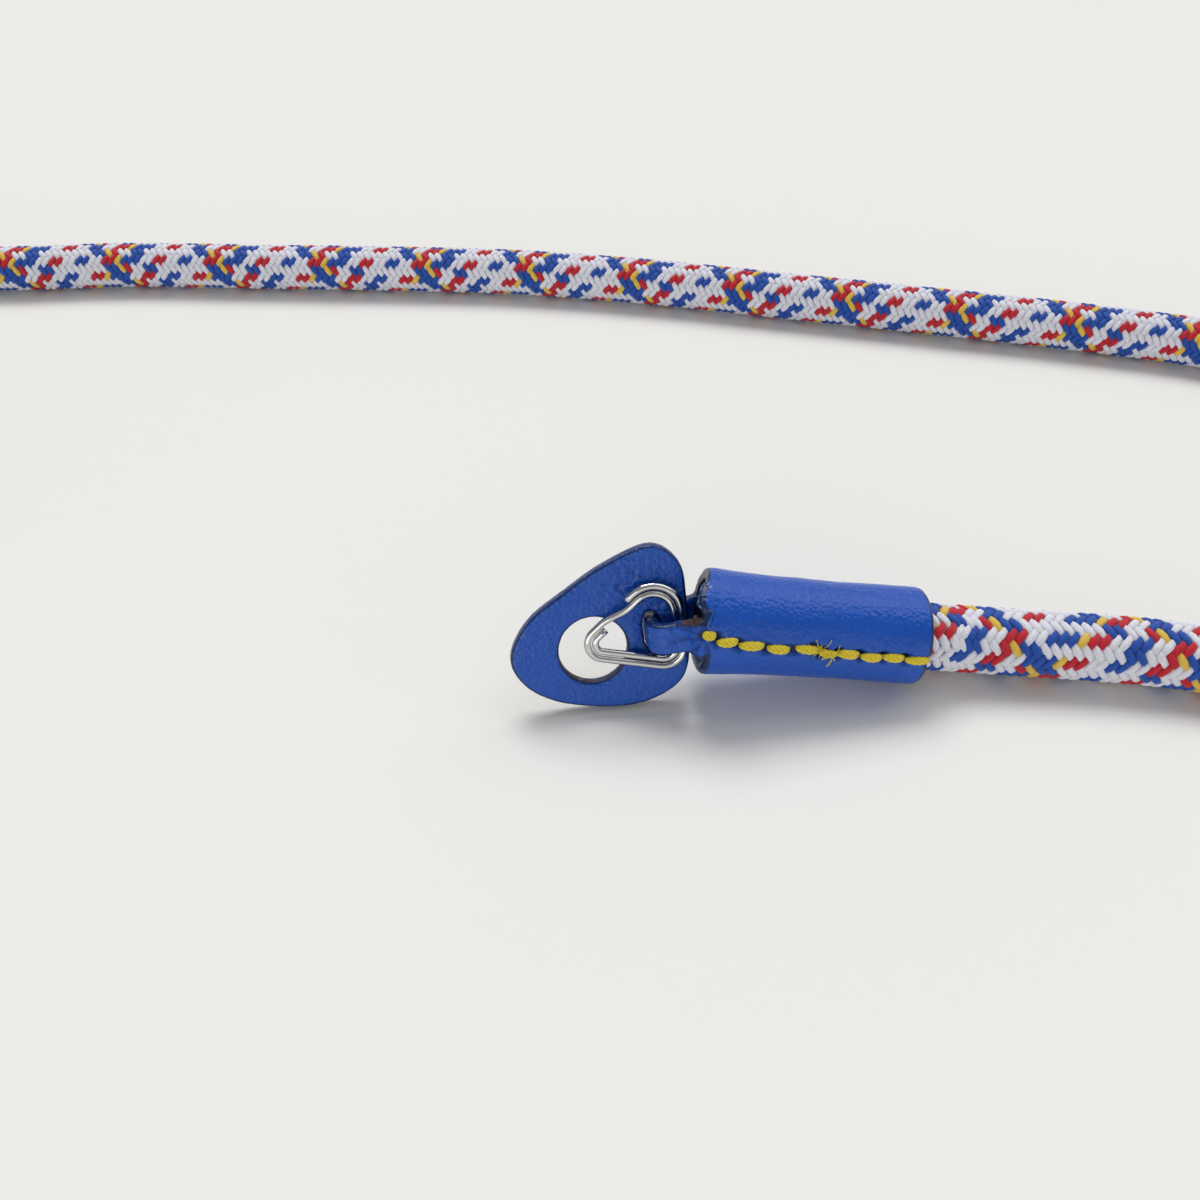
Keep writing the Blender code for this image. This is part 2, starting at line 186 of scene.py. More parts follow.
def smooth_line(points, steps):
    """Points on a smooth curve through the given ones, with a number of steps between each two."""
    line = []
    for i in range(len(points) - 1):
        b, c = points[i], points[i + 1]
        a = points[i - 1] if i else 2 * b - c
        d = points[i + 2] if i + 2 < len(points) else 2 * c - b
        for step in range(steps):
            t = step / steps
            line.append(
                0.5 * (2 * b + (c - a) * t + (2 * a - 5 * b + 4 * c - d) * t**2
                       + (3 * b - a - 3 * c + d) * t**3)
            )
    line.append(points[-1])
    return line


def rope_route():
    along = (MOUTH - ROPE_IN_SLEEVE, MOUTH, MOUTH + ROPE_STRAIGHT)
    left = [end_place(-1) @ Vector((x, 0, 0)) for x in along]
    right = [end_place(1) @ Vector((x, 0, 0)) for x in reversed(along)]
    table = [Vector((x, y, ROPE_DIAMETER / 2)) for x, y in FLOOR_ROUTE]
    line = smooth_line(left + table + right, ROUTE_STEPS)
    for point in line:
        point.z = max(point.z, ROPE_DIAMETER / 2)
    return line


ROUTE = rope_route()

# %% [markdown]
# ## Helpers for node trees
#
# Geometry Nodes and materials are both trees of nodes. A few small helpers keep their code short.
# One adds a node, sets its options and feeds its inputs. Others do a sum with numbers or with
# directions. One grows a tree on an object and keeps the result as a plain mesh: it writes the
# modifier's inputs by the identifier of each socket, which is how a modifier stores them.

# %% Small helpers
def feed(tree, target, value):
    """Gives a socket a plain value or another node's output."""
    if isinstance(value, bpy.types.NodeSocket):
        tree.links.new(value, target)
    else:
        target.default_value = value


def add(tree, kind, feeds=(), **options):
    """A new node with its options set and its inputs fed, by their names or numbers."""
    made = tree.nodes.new(kind)
    for name, value in options.items():
        setattr(made, name, value)
    for socket, value in dict(feeds).items():
        feed(tree, made.inputs[socket], value)
    return made


def math_node(tree, operation, *values):
    return add(tree, "ShaderNodeMath", enumerate(values), operation=operation).outputs[0]


def vector_math(tree, operation, *values):
    return add(tree, "ShaderNodeVectorMath", enumerate(values), operation=operation).outputs["Vector"]


def scaled(tree, vector, factor):
    made = add(tree, "ShaderNodeVectorMath", {0: vector, "Scale": factor}, operation="SCALE")
    return made.outputs["Vector"]


def geometry_tree(name, inputs):
    """A Geometry Nodes tree with named inputs: (name, socket type, default)."""
    tree = bpy.data.node_groups.new(name, "GeometryNodeTree")
    tree.interface.new_socket("Geometry", in_out="INPUT", socket_type="NodeSocketGeometry")
    for label, kind, default in inputs:
        socket = tree.interface.new_socket(label, in_out="INPUT", socket_type=kind)
        if default is not None:
            socket.default_value = default
    tree.interface.new_socket("Geometry", in_out="OUTPUT", socket_type="NodeSocketGeometry")
    return tree, add(tree, "NodeGroupInput").outputs, add(tree, "NodeGroupOutput").inputs


def evaluated_mesh(item):
    """A plain mesh of an object, with all that its modifiers or its bevel make."""
    bpy.context.view_layer.update()
    graph = bpy.context.evaluated_depsgraph_get()
    return bpy.data.meshes.new_from_object(item.evaluated_get(graph))


def grown(name, source, tree, values):
    """The plain mesh that a tree grows on a source object, which is then removed."""
    modifier = source.modifiers.new(tree.name, "NODES")
    modifier.node_group = tree
    for item in tree.interface.items_tree:
        if item.in_out == "INPUT" and item.name in values:
            modifier[item.identifier] = values[item.name]
    data = evaluated_mesh(source)
    data.name = name
    made = linked(name, data)
    bpy.data.objects.remove(source)
    return made


def meshed(name, mesh):
    """A smooth object of a bmesh, whose faces are turned outward first."""
    bmesh.ops.recalc_face_normals(mesh, faces=mesh.faces)
    data = bpy.data.meshes.new(name)
    mesh.to_mesh(data)
    mesh.free()
    data.shade_smooth()
    return linked(name, data)


def hidden(item):
    item.hide_render = True
    item.hide_viewport = True
    return item


def triangles(item):
    item.data.calc_loop_triangles()
    return len(item.data.loop_triangles)


# %% [markdown]
# ## The colours of the yarns
#
# The rope is a tube of sixteen carriers, each with two yarns side by side. Eight carriers wind one
# way and eight the other, and each passes over one and under the next. The pattern of the real rope
# comes only from which yarns are dyed, so it is written down as two short rows of letters, one for
# each way, counted off the rope. W is white, B blue, R red and Y yellow.

# %% Chart of the yarns
YARNS_UPWARD = "RR WW BB WW RR WW BB BY"
YARNS_DOWNWARD = "BB WW RY BB WW WW WW WW"
DYES = {
    "W": (0.90, 0.90, 0.97),
    "B": (0.008, 0.085, 0.46),
    "R": (0.63, 0.008, 0.026),
    "Y": (0.90, 0.60, 0.09),
}


def chart_object(name, words):
    """One vertex for each yarn, which holds the yarn's colour."""
    letters = words.replace(" ", "")
    data = bpy.data.meshes.new(name)
    data.from_pydata([(i * MM, 0, 0) for i in range(len(letters))], [], [])
    colours = data.attributes.new("dye", "FLOAT_COLOR", "POINT")
    for entry, letter in zip(colours.data, letters):
        entry.color = (*DYES[letter], 1.0)
    return hidden(linked(name, data))


charts = {1: chart_object("chart_upward", YARNS_UPWARD), -1: chart_object("chart_downward", YARNS_DOWNWARD)}
print("yarns each way:", [len(chart.data.vertices) for chart in charts.values()])

# %% [markdown]
# ## One float of yarn
#
# Where a yarn passes over the crossing ones it shows as a short plump leaf, and both its tips dive
# under its neighbours. That leaf is called a float. It is repeated more than nine thousand times, so
# it has only a few faces: four arched sections and two tips. Its ends are cut on the slant by the
# crossing yarns, so a float of the one way of winding is the mirror image of one of the other.

# %% The float
FLOAT_HALF = 1.75 * MM
FLOAT_SECTIONS = [
    {"along": -0.68, "half_width": 0.61, "crest": 0.10},
    {"along": -0.27, "half_width": 0.66, "crest": 0.40},
    {"along": 0.27, "half_width": 0.66, "crest": 0.40},
    {"along": 0.68, "half_width": 0.61, "crest": 0.10},
]
FLOAT_ARCH = [  # share of the half width, share of the way down from the crest
    {"across": -1.00, "down": 0.90},
    {"across": -0.50, "down": 0.10},
    {"across": 0.50, "down": 0.10},
    {"across": 1.00, "down": 0.90},
    {"across": 0.00, "down": 1.60},
]
FLOAT_ARCH_HEIGHT = 0.50 * MM
FLOAT_TIP_DROP = 0.62 * MM
FLOAT_SHEAR = 0.29  # how far the ends slant, along the crossing yarns


def yarn_float(name, shear):
    mesh = bmesh.new()
    uv = mesh.loops.layers.uv.new("yarn")
    places = {}

    def point(x, y, z, across):
        made = mesh.verts.new((x, y, z))
        places[made] = (x / FLOAT_HALF, across)
        return made

    start = point(-FLOAT_HALF, 0, -FLOAT_TIP_DROP, 0)
    sections = []
    for row in FLOAT_SECTIONS:
        section = []
        for spot in FLOAT_ARCH:
            y = spot["across"] * row["half_width"] * MM
            z = row["crest"] * MM - spot["down"] * FLOAT_ARCH_HEIGHT
            section.append(point(row["along"] * FLOAT_HALF + shear * y, y, z, spot["across"]))
        sections.append(section)
    end = point(FLOAT_HALF, 0, -FLOAT_TIP_DROP, 0)
    count = len(FLOAT_ARCH)
    for i in range(count):
        j = (i + 1) % count
        mesh.faces.new((start, sections[0][j], sections[0][i]))
        mesh.faces.new((end, sections[-1][i], sections[-1][j]))
        for one, other in zip(sections, sections[1:]):
            mesh.faces.new((one[i], one[j], other[j], other[i]))
    for face in mesh.faces:
        for loop in face.loops:
            loop[uv].uv = places[loop.vert]
    return hidden(meshed(name, mesh))


floats = {
    1: yarn_float("float_upward", FLOAT_SHEAR),
    -1: yarn_float("float_downward", -FLOAT_SHEAR),
}
print("a float has", triangles(floats[1]), "triangles")

# %% [markdown]
# ## The look of the yarns
#
# Braided polyester is made of hundreds of fine filaments, which show as thin slanting lines on each
# float. The material takes its colour from the dye on each yarn, darkens it a little at the float's
# two ends as painted shade, where the yarn goes down between its neighbours, and gets its lines from
# noise that is stretched along the yarn.

# %% Material of the yarns
def principled(name, roughness, specular=0.5, metallic=0.0):
    made = bpy.data.materials.new(name)
    made.use_nodes = True
    tree = made.node_tree
    shader = tree.nodes["Principled BSDF"]
    shader.inputs["Roughness"].default_value = roughness
    shader.inputs["Specular IOR Level"].default_value = specular
    shader.inputs["Metallic"].default_value = metallic
    return made, tree, shader


def mixed_colour(tree, factor, one, other, blend="MIX"):
    feeds = {"Factor": factor, "A": one, "B": other}
    made = add(tree, "ShaderNodeMix", feeds, data_type="RGBA", blend_type=blend)
    return [s for s in made.outputs if s.type == "RGBA"][0]


def noise_node(tree, place, scale, detail=2.0, output="Fac"):
    feeds = {"Vector": place, "Scale": scale, "Detail": detail}
    return add(tree, "ShaderNodeTexNoise", feeds).outputs[output]


def object_place(tree):
    return add(tree, "ShaderNodeTexCoord").outputs["Object"]


def yarn_lines(tree, degrees, stretch, scale):
    """Noise in fine lines that slant along a yarn, on its own map."""
    place = add(tree, "ShaderNodeUVMap", uv_map="yarn").outputs["UV"]
    slanted = {"Vector": place, "Rotation": (0, 0, math.radians(degrees)), "Scale": stretch}
    lines = noise_node(tree, add(tree, "ShaderNodeMapping", slanted).outputs["Vector"], scale, 3.0)
    return place, lines


def bumped(tree, shader, height, strength, distance):
    """Presses a height into the shader's surface."""
    bump = add(tree, "ShaderNodeBump", {"Strength": strength, "Distance": distance, "Height": height})
    feed(tree, shader.inputs["Normal"], bump.outputs["Normal"])


def yarn_material():
    made, tree, shader = principled("braided_yarn", 0.62, 0.35)
    dye = add(tree, "ShaderNodeAttribute", attribute_name="dye").outputs["Color"]
    place, lines = yarn_lines(tree, 28, (1.2, 5.0, 1.0), 2.4)
    parts = add(tree, "ShaderNodeSeparateXYZ", {0: place})
    ends = math_node(tree, "POWER", math_node(tree, "ABSOLUTE", parts.outputs["X"]), 3.0)
    # painted shade: the dye is darkened where the float's ends dive between its neighbours
    shade = mixed_colour(tree, 1.0, dye, (0.80, 0.80, 0.84, 1), "MULTIPLY")
    colour = mixed_colour(tree, math_node(tree, "MULTIPLY", ends, 0.5), dye, shade)
    dark = mixed_colour(tree, 1.0, colour, (0.70, 0.70, 0.74, 1), "MULTIPLY")
    contrast = add(tree, "ShaderNodeMapRange", {"Value": lines, "From Min": 0.32, "From Max": 0.58})
    colour = mixed_colour(tree, contrast.outputs["Result"], dark, colour)
    feed(tree, shader.inputs["Base Color"], colour)
    bumped(tree, shader, lines, 0.9, 0.10 * MM)
    shader.inputs["Sheen Weight"].default_value = 0.15
    shader.inputs["Sheen Roughness"].default_value = 0.5
    return made


YARN_LOOK = yarn_material()

# %% [markdown]
# ## The braid, grown by Geometry Nodes
#
# A braid is a rule, so Geometry Nodes grow it. The tree gets the route as a curve. It makes one
# point for each float and works out, from the point's index, its cell along the rope, its row round
# the rope and its carrier. Sample Curve gives the place and direction there, Axes to Rotation lays
# the float on the slant, and the chart gives it its colour. The tree runs twice, once for each way
# of winding, and a plain tube inside closes the gaps. The tube's dull grey-blue is painted shade for
# the dark gaps between the floats.

# %% The braid's tree
BRAID_LAY = 23.5 * MM  # length of one turn of a carrier
BRAID_ROWS = 8  # carriers each way, and cells in a lay
BRAID_CELL = BRAID_LAY / BRAID_ROWS
YARN_RING = 4.56 * MM  # distance of the floats' middle from the rope's centre line
FIRST_FLOAT = 1.77 * MM  # from the start of the route, inside the right sleeve
HIDDEN_CELLS = 3.0  # left out at each end, deep inside the sleeves
ROW_TURN = math.radians(39)  # where row one lies, from the rope's top to the viewer
CORE_RADIUS = 4.42 * MM
FLOAT_SMALLEST, FLOAT_LARGEST = (0.97, 0.94, 0.92), (1.03, 1.05, 1.06)  # against the drawn float


def named_attribute(tree, name, kind):
    return add(tree, "GeometryNodeInputNamedAttribute", {"Name": name}, data_type=kind).outputs["Attribute"]


def laid_copies(tree, points, form, outward, along, size, material):
    """Copies of an object at points, each laid by two directions, as real faces with a material."""
    laid = add(tree, "FunctionNodeAxesToRotation", {"Primary Axis": outward, "Secondary Axis": along},
               primary_axis="Z", secondary_axis="X")
    info = add(tree, "GeometryNodeObjectInfo", {"Object": form})
    copies = add(tree, "GeometryNodeInstanceOnPoints", {
        "Points": points, "Instance": info.outputs["Geometry"],
        "Rotation": laid.outputs["Rotation"], "Scale": size,
    })
    real = add(tree, "GeometryNodeRealizeInstances", {"Geometry": copies.outputs["Instances"]})
    dressed = {"Geometry": real.outputs["Geometry"], "Material": material}
    return add(tree, "GeometryNodeSetMaterial", dressed).outputs["Geometry"]


def braid_tree():
    tree, given, result = geometry_tree("braid", [
        ("Cell", "NodeSocketFloat", BRAID_CELL),
        ("Ring", "NodeSocketFloat", YARN_RING),
        ("First", "NodeSocketFloat", FIRST_FLOAT),
        ("Hidden cells", "NodeSocketFloat", HIDDEN_CELLS),
        ("Row turn", "NodeSocketFloat", ROW_TURN),
        ("Way", "NodeSocketFloat", 1.0),
        ("Float", "NodeSocketObject", None),
        ("Chart", "NodeSocketObject", None),
        ("Material", "NodeSocketMaterial", None),
    ])

    def m(operation, *values):
        return math_node(tree, operation, *values)

    def v(operation, *values):
        return vector_math(tree, operation, *values)

    length = add(tree, "GeometryNodeCurveLength", {0: given["Geometry"]}).outputs[0]
    usable = m("SUBTRACT", length, m("MULTIPLY", given["First"], 2.0))
    whole_cells = m("FLOOR", m("DIVIDE", usable, given["Cell"]))
    cells = m("SUBTRACT", whole_cells, m("MULTIPLY", given["Hidden cells"], 2.0))
    points = add(tree, "GeometryNodePoints", {"Count": m("MULTIPLY", cells, 2.0 * BRAID_ROWS)})

    index = add(tree, "GeometryNodeInputIndex").outputs[0]
    yarn = m("FLOORED_MODULO", index, 2.0)
    aside = m("MULTIPLY", m("SUBTRACT", yarn, 0.5), 0.5)
    row = m("FLOORED_MODULO", m("FLOOR", m("DIVIDE", index, 2.0)), float(BRAID_ROWS))
    cell = m("ADD", m("FLOOR", m("DIVIDE", index, 2.0 * BRAID_ROWS)), given["Hidden cells"])
    late = m("MULTIPLY", m("SUBTRACT", 1.0, given["Way"]), 0.25)
    along = m("ADD", m("ADD", cell, m("MULTIPLY", late, 1.5)), aside)
    around = m("ADD", row, late)
    wound = m("ADD", m("ADD", cell, m("MULTIPLY", given["Way"], row)), m("MULTIPLY", late, 2.0))
    carrier = m("FLOORED_MODULO", wound, float(BRAID_ROWS))
    entry = m("ADD", m("MULTIPLY", carrier, 2.0), yarn)

    sample = add(tree, "GeometryNodeSampleCurve", {
        "Curves": given["Geometry"],
        "Length": m("ADD", given["First"], m("MULTIPLY", along, given["Cell"])),
    }, mode="LENGTH")
    tangent = sample.outputs["Tangent"]
    side = v("NORMALIZE", v("CROSS_PRODUCT", tangent, (0.0, 0.0, 1.0)))
    up = v("CROSS_PRODUCT", side, tangent)
    row_angle = 2 * math.pi / BRAID_ROWS
    angle = m("ADD", given["Row turn"], m("MULTIPLY", m("SUBTRACT", around, 1.0), row_angle))
    cosine, sine = m("COSINE", angle), m("SINE", angle)
    outward = v("ADD", scaled(tree, up, cosine), scaled(tree, side, sine))
    turning = v("SUBTRACT", scaled(tree, side, cosine), scaled(tree, up, sine))
    row_width = m("MULTIPLY", given["Ring"], row_angle)
    slant = v("SUBTRACT", scaled(tree, tangent, given["Cell"]),
              scaled(tree, turning, m("MULTIPLY", given["Way"], row_width)))
    place = v("ADD", sample.outputs["Position"], scaled(tree, outward, given["Ring"]))
    placed = add(tree, "GeometryNodeSetPosition", {"Geometry": points.outputs[0], "Position": place})

    chart = add(tree, "GeometryNodeObjectInfo", {"Object": given["Chart"]})
    colour = named_attribute(tree, "dye", "FLOAT_COLOR")
    picked = add(tree, "GeometryNodeSampleIndex", {
        "Geometry": chart.outputs["Geometry"], "Value": colour, "Index": entry,
    }, data_type="FLOAT_COLOR", domain="POINT")
    dyed = add(tree, "GeometryNodeStoreNamedAttribute", {
        "Name": "dye", "Geometry": placed.outputs["Geometry"], "Value": picked.outputs["Value"],
    }, data_type="FLOAT_COLOR", domain="POINT")
    size = add(tree, "FunctionNodeRandomValue", {
        "Min": FLOAT_SMALLEST, "Max": FLOAT_LARGEST, "Seed": 7,
    }, data_type="FLOAT_VECTOR")
    laid = laid_copies(tree, dyed.outputs["Geometry"], given["Float"], outward, slant,
                       size.outputs["Value"], given["Material"])
    feed(tree, result["Geometry"], laid)
    return tree


BRAID = braid_tree()

# %% Grow the rope
def curve_object(name, line):
    data = bpy.data.curves.new(name, "CURVE")
    data.dimensions = "3D"
    spline = data.splines.new("POLY")
    spline.points.add(len(line) - 1)
    for spot, point in zip(spline.points, line):
        spot.co = (*point, 1.0)
    return linked(name, data)


def add_tube(mesh, line, radii, sides, up, uv=None):
    """Adds a closed round tube along a line to a bmesh, with its ends filled."""
    rings = []
    for i, (point, radius) in enumerate(zip(line, radii)):
        along = (line[min(i + 1, len(line) - 1)] - line[max(i - 1, 0)]).normalized()
        across = along.cross(up).normalized()
        rise = across.cross(along)
        turns = [2 * math.pi * k / sides for k in range(sides)]
        rings.append([mesh.verts.new(point + radius * (across * math.cos(a) + rise * math.sin(a)))
                      for a in turns])
    for i, (one, other) in enumerate(zip(rings, rings[1:])):
        for k in range(sides):
            n = (k + 1) % sides
            face = mesh.faces.new((one[k], one[n], other[n], other[k]))
            if uv is not None:
                spots = ((i, k), (i, k + 1), (i + 1, k + 1), (i + 1, k))
                for loop, (a, b) in zip(face.loops, spots):
                    loop[uv].uv = (a / (len(line) - 1), b / sides)
    mesh.faces.new(rings[0])
    mesh.faces.new(rings[-1])


def tube_mesh(name, line, radius, sides, up=Vector((0, 0, 1))):
    mesh = bmesh.new()
    add_tube(mesh, line, [radius] * len(line), sides, up)
    return meshed(name, mesh)


def core_shade_material():
    made, tree, shader = principled("rope_core", 0.8, 0.2)
    threads = noise_node(tree, object_place(tree), 900.0)
    # painted shade: dull grey-blue tones for the gaps between the floats
    colour = mixed_colour(tree, threads, (0.36, 0.37, 0.46, 1), (0.55, 0.56, 0.66, 1))
    feed(tree, shader.inputs["Base Color"], colour)
    return made


CORE_SIDES = 12
rope = tube_mesh("rope_core", ROUTE, CORE_RADIUS, CORE_SIDES)
rope.data.materials.append(core_shade_material())
yarns = []
for way, name in ((1, "yarns_upward"), (-1, "yarns_downward")):
    source = curve_object(name + "_route", list(reversed(ROUTE)))
    yarns.append(grown(name, source, BRAID, {
        "Cell": BRAID_CELL, "Ring": YARN_RING, "First": FIRST_FLOAT, "Row turn": ROW_TURN,
        "Way": float(way), "Float": floats[way], "Chart": charts[way], "Material": YARN_LOOK,
    }))
    print(name, "has", triangles(yarns[-1]), "triangles")
for piece in [rope, *yarns]:
    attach(piece, "root")
    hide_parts("rope")

# %% [markdown]
# ## The leather's form
#
# The solids already have the true form of the leather, but their faces are large and their corners
# too crisp. A voxel remesh gives the same form in small even faces, and a few rounds of smoothing
# blend the tongue into the sleeve and soften each cut edge. After that, plain functions of a point's
# place press in what the needle, the fold and years of use leave: needle holes, creases that fan out
# from the first stitch, a torn near edge that is drawn out towards the tongue, wrinkles round the
# slot and a soft waviness. Each function works in the end's own frame, in millimetres.

# %% A fine mesh of a solid's form
SMOOTHING_ROUNDS = 4


def even_form(name, node_name, voxel, place):
    """A fine even mesh of a solid, carried into the frame that place leads from."""
    source = frame["nodes"][node_name]
    data = source.data.copy()
    mesh = bmesh.new()
    mesh.from_mesh(data)
    bmesh.ops.remove_doubles(mesh, verts=mesh.verts, dist=1e-6)
    bmesh.ops.transform(mesh, matrix=place.inverted(), verts=mesh.verts)
    mesh.to_mesh(data)
    mesh.free()
    made = linked(name, data)
    even = made.modifiers.new("even", "REMESH")
    even.mode = "VOXEL"
    even.voxel_size = voxel
    soft = made.modifiers.new("soft", "SMOOTH")
    soft.factor = 0.5
    soft.iterations = SMOOTHING_ROUNDS
    fine = evaluated_mesh(made)
    made.modifiers.clear()
    made.data = fine
    made.data.materials.clear()
    bpy.data.meshes.remove(data)
    return made


def read_points(item):
    """A mesh's points and their outward directions, in millimetres and as rows of numbers."""
    count = len(item.data.vertices)
    places, outward = np.zeros(count * 3), np.zeros(count * 3)
    item.data.vertices.foreach_get("co", places)
    item.data.vertex_normals.foreach_get("vector", outward)
    return places.reshape(-1, 3) / MM, outward.reshape(-1, 3)


def write_points(item, places):
    item.data.vertices.foreach_set("co", (places * MM).ravel())
    item.data.update()


def write_mask(item, name, values):
    mask = item.data.attributes.new(name, "FLOAT", "POINT")
    mask.data.foreach_set("value", np.clip(values, 0, 1).astype(np.float32))


def ramp(value, low, high):
    """0 below low, 1 above high and a smooth rise between them."""
    share = np.clip((value - low) / (high - low), 0, 1)
    return share * share * (3 - 2 * share)


def bell(value, middle, width):
    """1 at the middle, falling smoothly to 0 on both sides."""
    return np.exp(-(((value - middle) / width) ** 2))


def ripple(places, size, seed):
    """Smooth noise between about -1 and 1 at each point, with waves of the given size."""
    shift = Vector((seed * 17.3, seed * 5.1, seed * 9.7))
    return np.array([noise.noise(Vector(p) / size + shift) for p in places])


# %% [markdown]
# ## Where the needle went through
#
# The sleeve is closed with ten stitches of thick thread that run along it in a slightly wavy line,
# and a short backstitch crosses the fifth. Each row below is one stitch: the middle of it along the
# sleeve and its angle from the sleeve's front, its length and how far it leans, in millimetres and
# degrees. They are hand sewn, so no two are alike.

# %% Chart of the stitches
STITCHES = [
    {"along": 2.9, "angle": 3.4, "length": 1.9, "lean": -3},
    {"along": 5.5, "angle": -2.4, "length": 2.8, "lean": -9},
    {"along": 9.0, "angle": -5.4, "length": 3.4, "lean": -4},
    {"along": 12.9, "angle": -8.0, "length": 3.1, "lean": 1},
    {"along": 17.0, "angle": -6.6, "length": 3.2, "lean": 3},
    {"along": 18.6, "angle": -5.6, "length": 1.9, "lean": -20},
    {"along": 20.1, "angle": -10.4, "length": 2.6, "lean": 4},
    {"along": 23.0, "angle": -9.0, "length": 3.0, "lean": 2},
    {"along": 26.4, "angle": -11.0, "length": 3.0, "lean": -1},
    {"along": 29.6, "angle": -9.6, "length": 3.0, "lean": 0},
    {"along": 33.2, "angle": -11.4, "length": 3.5, "lean": -4},
]
SLEEVE_OUTSIDE = 6.9  # millimetres, the sleeve's outer radius


def needle_holes():
    holes = []
    for row in STITCHES:
        for end in (-0.5, 0.5):
            reach = row["length"] * end
            swing = math.degrees(reach * math.sin(math.radians(row["lean"])) / SLEEVE_OUTSIDE)
            holes.append((row["along"] + reach, row["angle"] + swing))
    return holes


# %% Sleeve and tongue
START, END = SLEEVE_START / MM, MOUTH / MM
SLEEVE_BORE = 5.3
TONGUE_HALF = 2.2
SEEN_SIDE = (2.0, 3.2)  # how far before the axis the front begins, and is full
LIP_REACH = 2.1  # how far the leather runs out towards the tongue at the front
LIP_AT, LIP_SPREAD = 34.0, 42.0  # degrees from the front, kept clear of the swinging ring
HOLE_SIZE, HOLE_DEPTH = 0.66, 0.50
RIM_AT, RIM_SIZE, RIM_HEIGHT = 1.4, 0.6, 0.08  # the leather bulges a little round each hole
CREASE_FROM = (2.6, 0.4)  # the creases fan out from the first stitch: along, up
CREASE_REACH, CREASE_DEPTH = 2.2, 0.32
CREASES = 11  # in a whole turn
CREASE_WANDER = 60.0  # degrees
CREASE_SHADE = 0.55
JOINT_SWELL = 0.75  # the tongue grows as it leaves the sleeve
WAVES, PEBBLES, TONGUE_WAVES = 0.08, 0.035, 0.07  # heights of the leather's unevenness
TORN_AT, TORN_SPREAD, TORN_DEPTH = 55.0, 24.0, 0.45
EDGE_ROUGHNESS = 0.08
GAP_AT, GAP_SPREAD, GAP_DEPTH = 27.0, 8.0, 1.1
CURL_AT, CURL_SPREAD, CURL_HEIGHT = -42.0, 18.0, 0.30
CHIP_AT = (1.0, 1.4)  # where the paint has flaked off the tongue's upper edge: along, half its length


def lip_shift(x, angle):
    """How far the near edge of the sleeve is drawn out towards the tongue."""
    drawn = ramp(x, START - 5.5, START) * (1 - ramp(x, START, START + 9.0))
    return -LIP_REACH * bell(angle, LIP_AT, LIP_SPREAD) * drawn


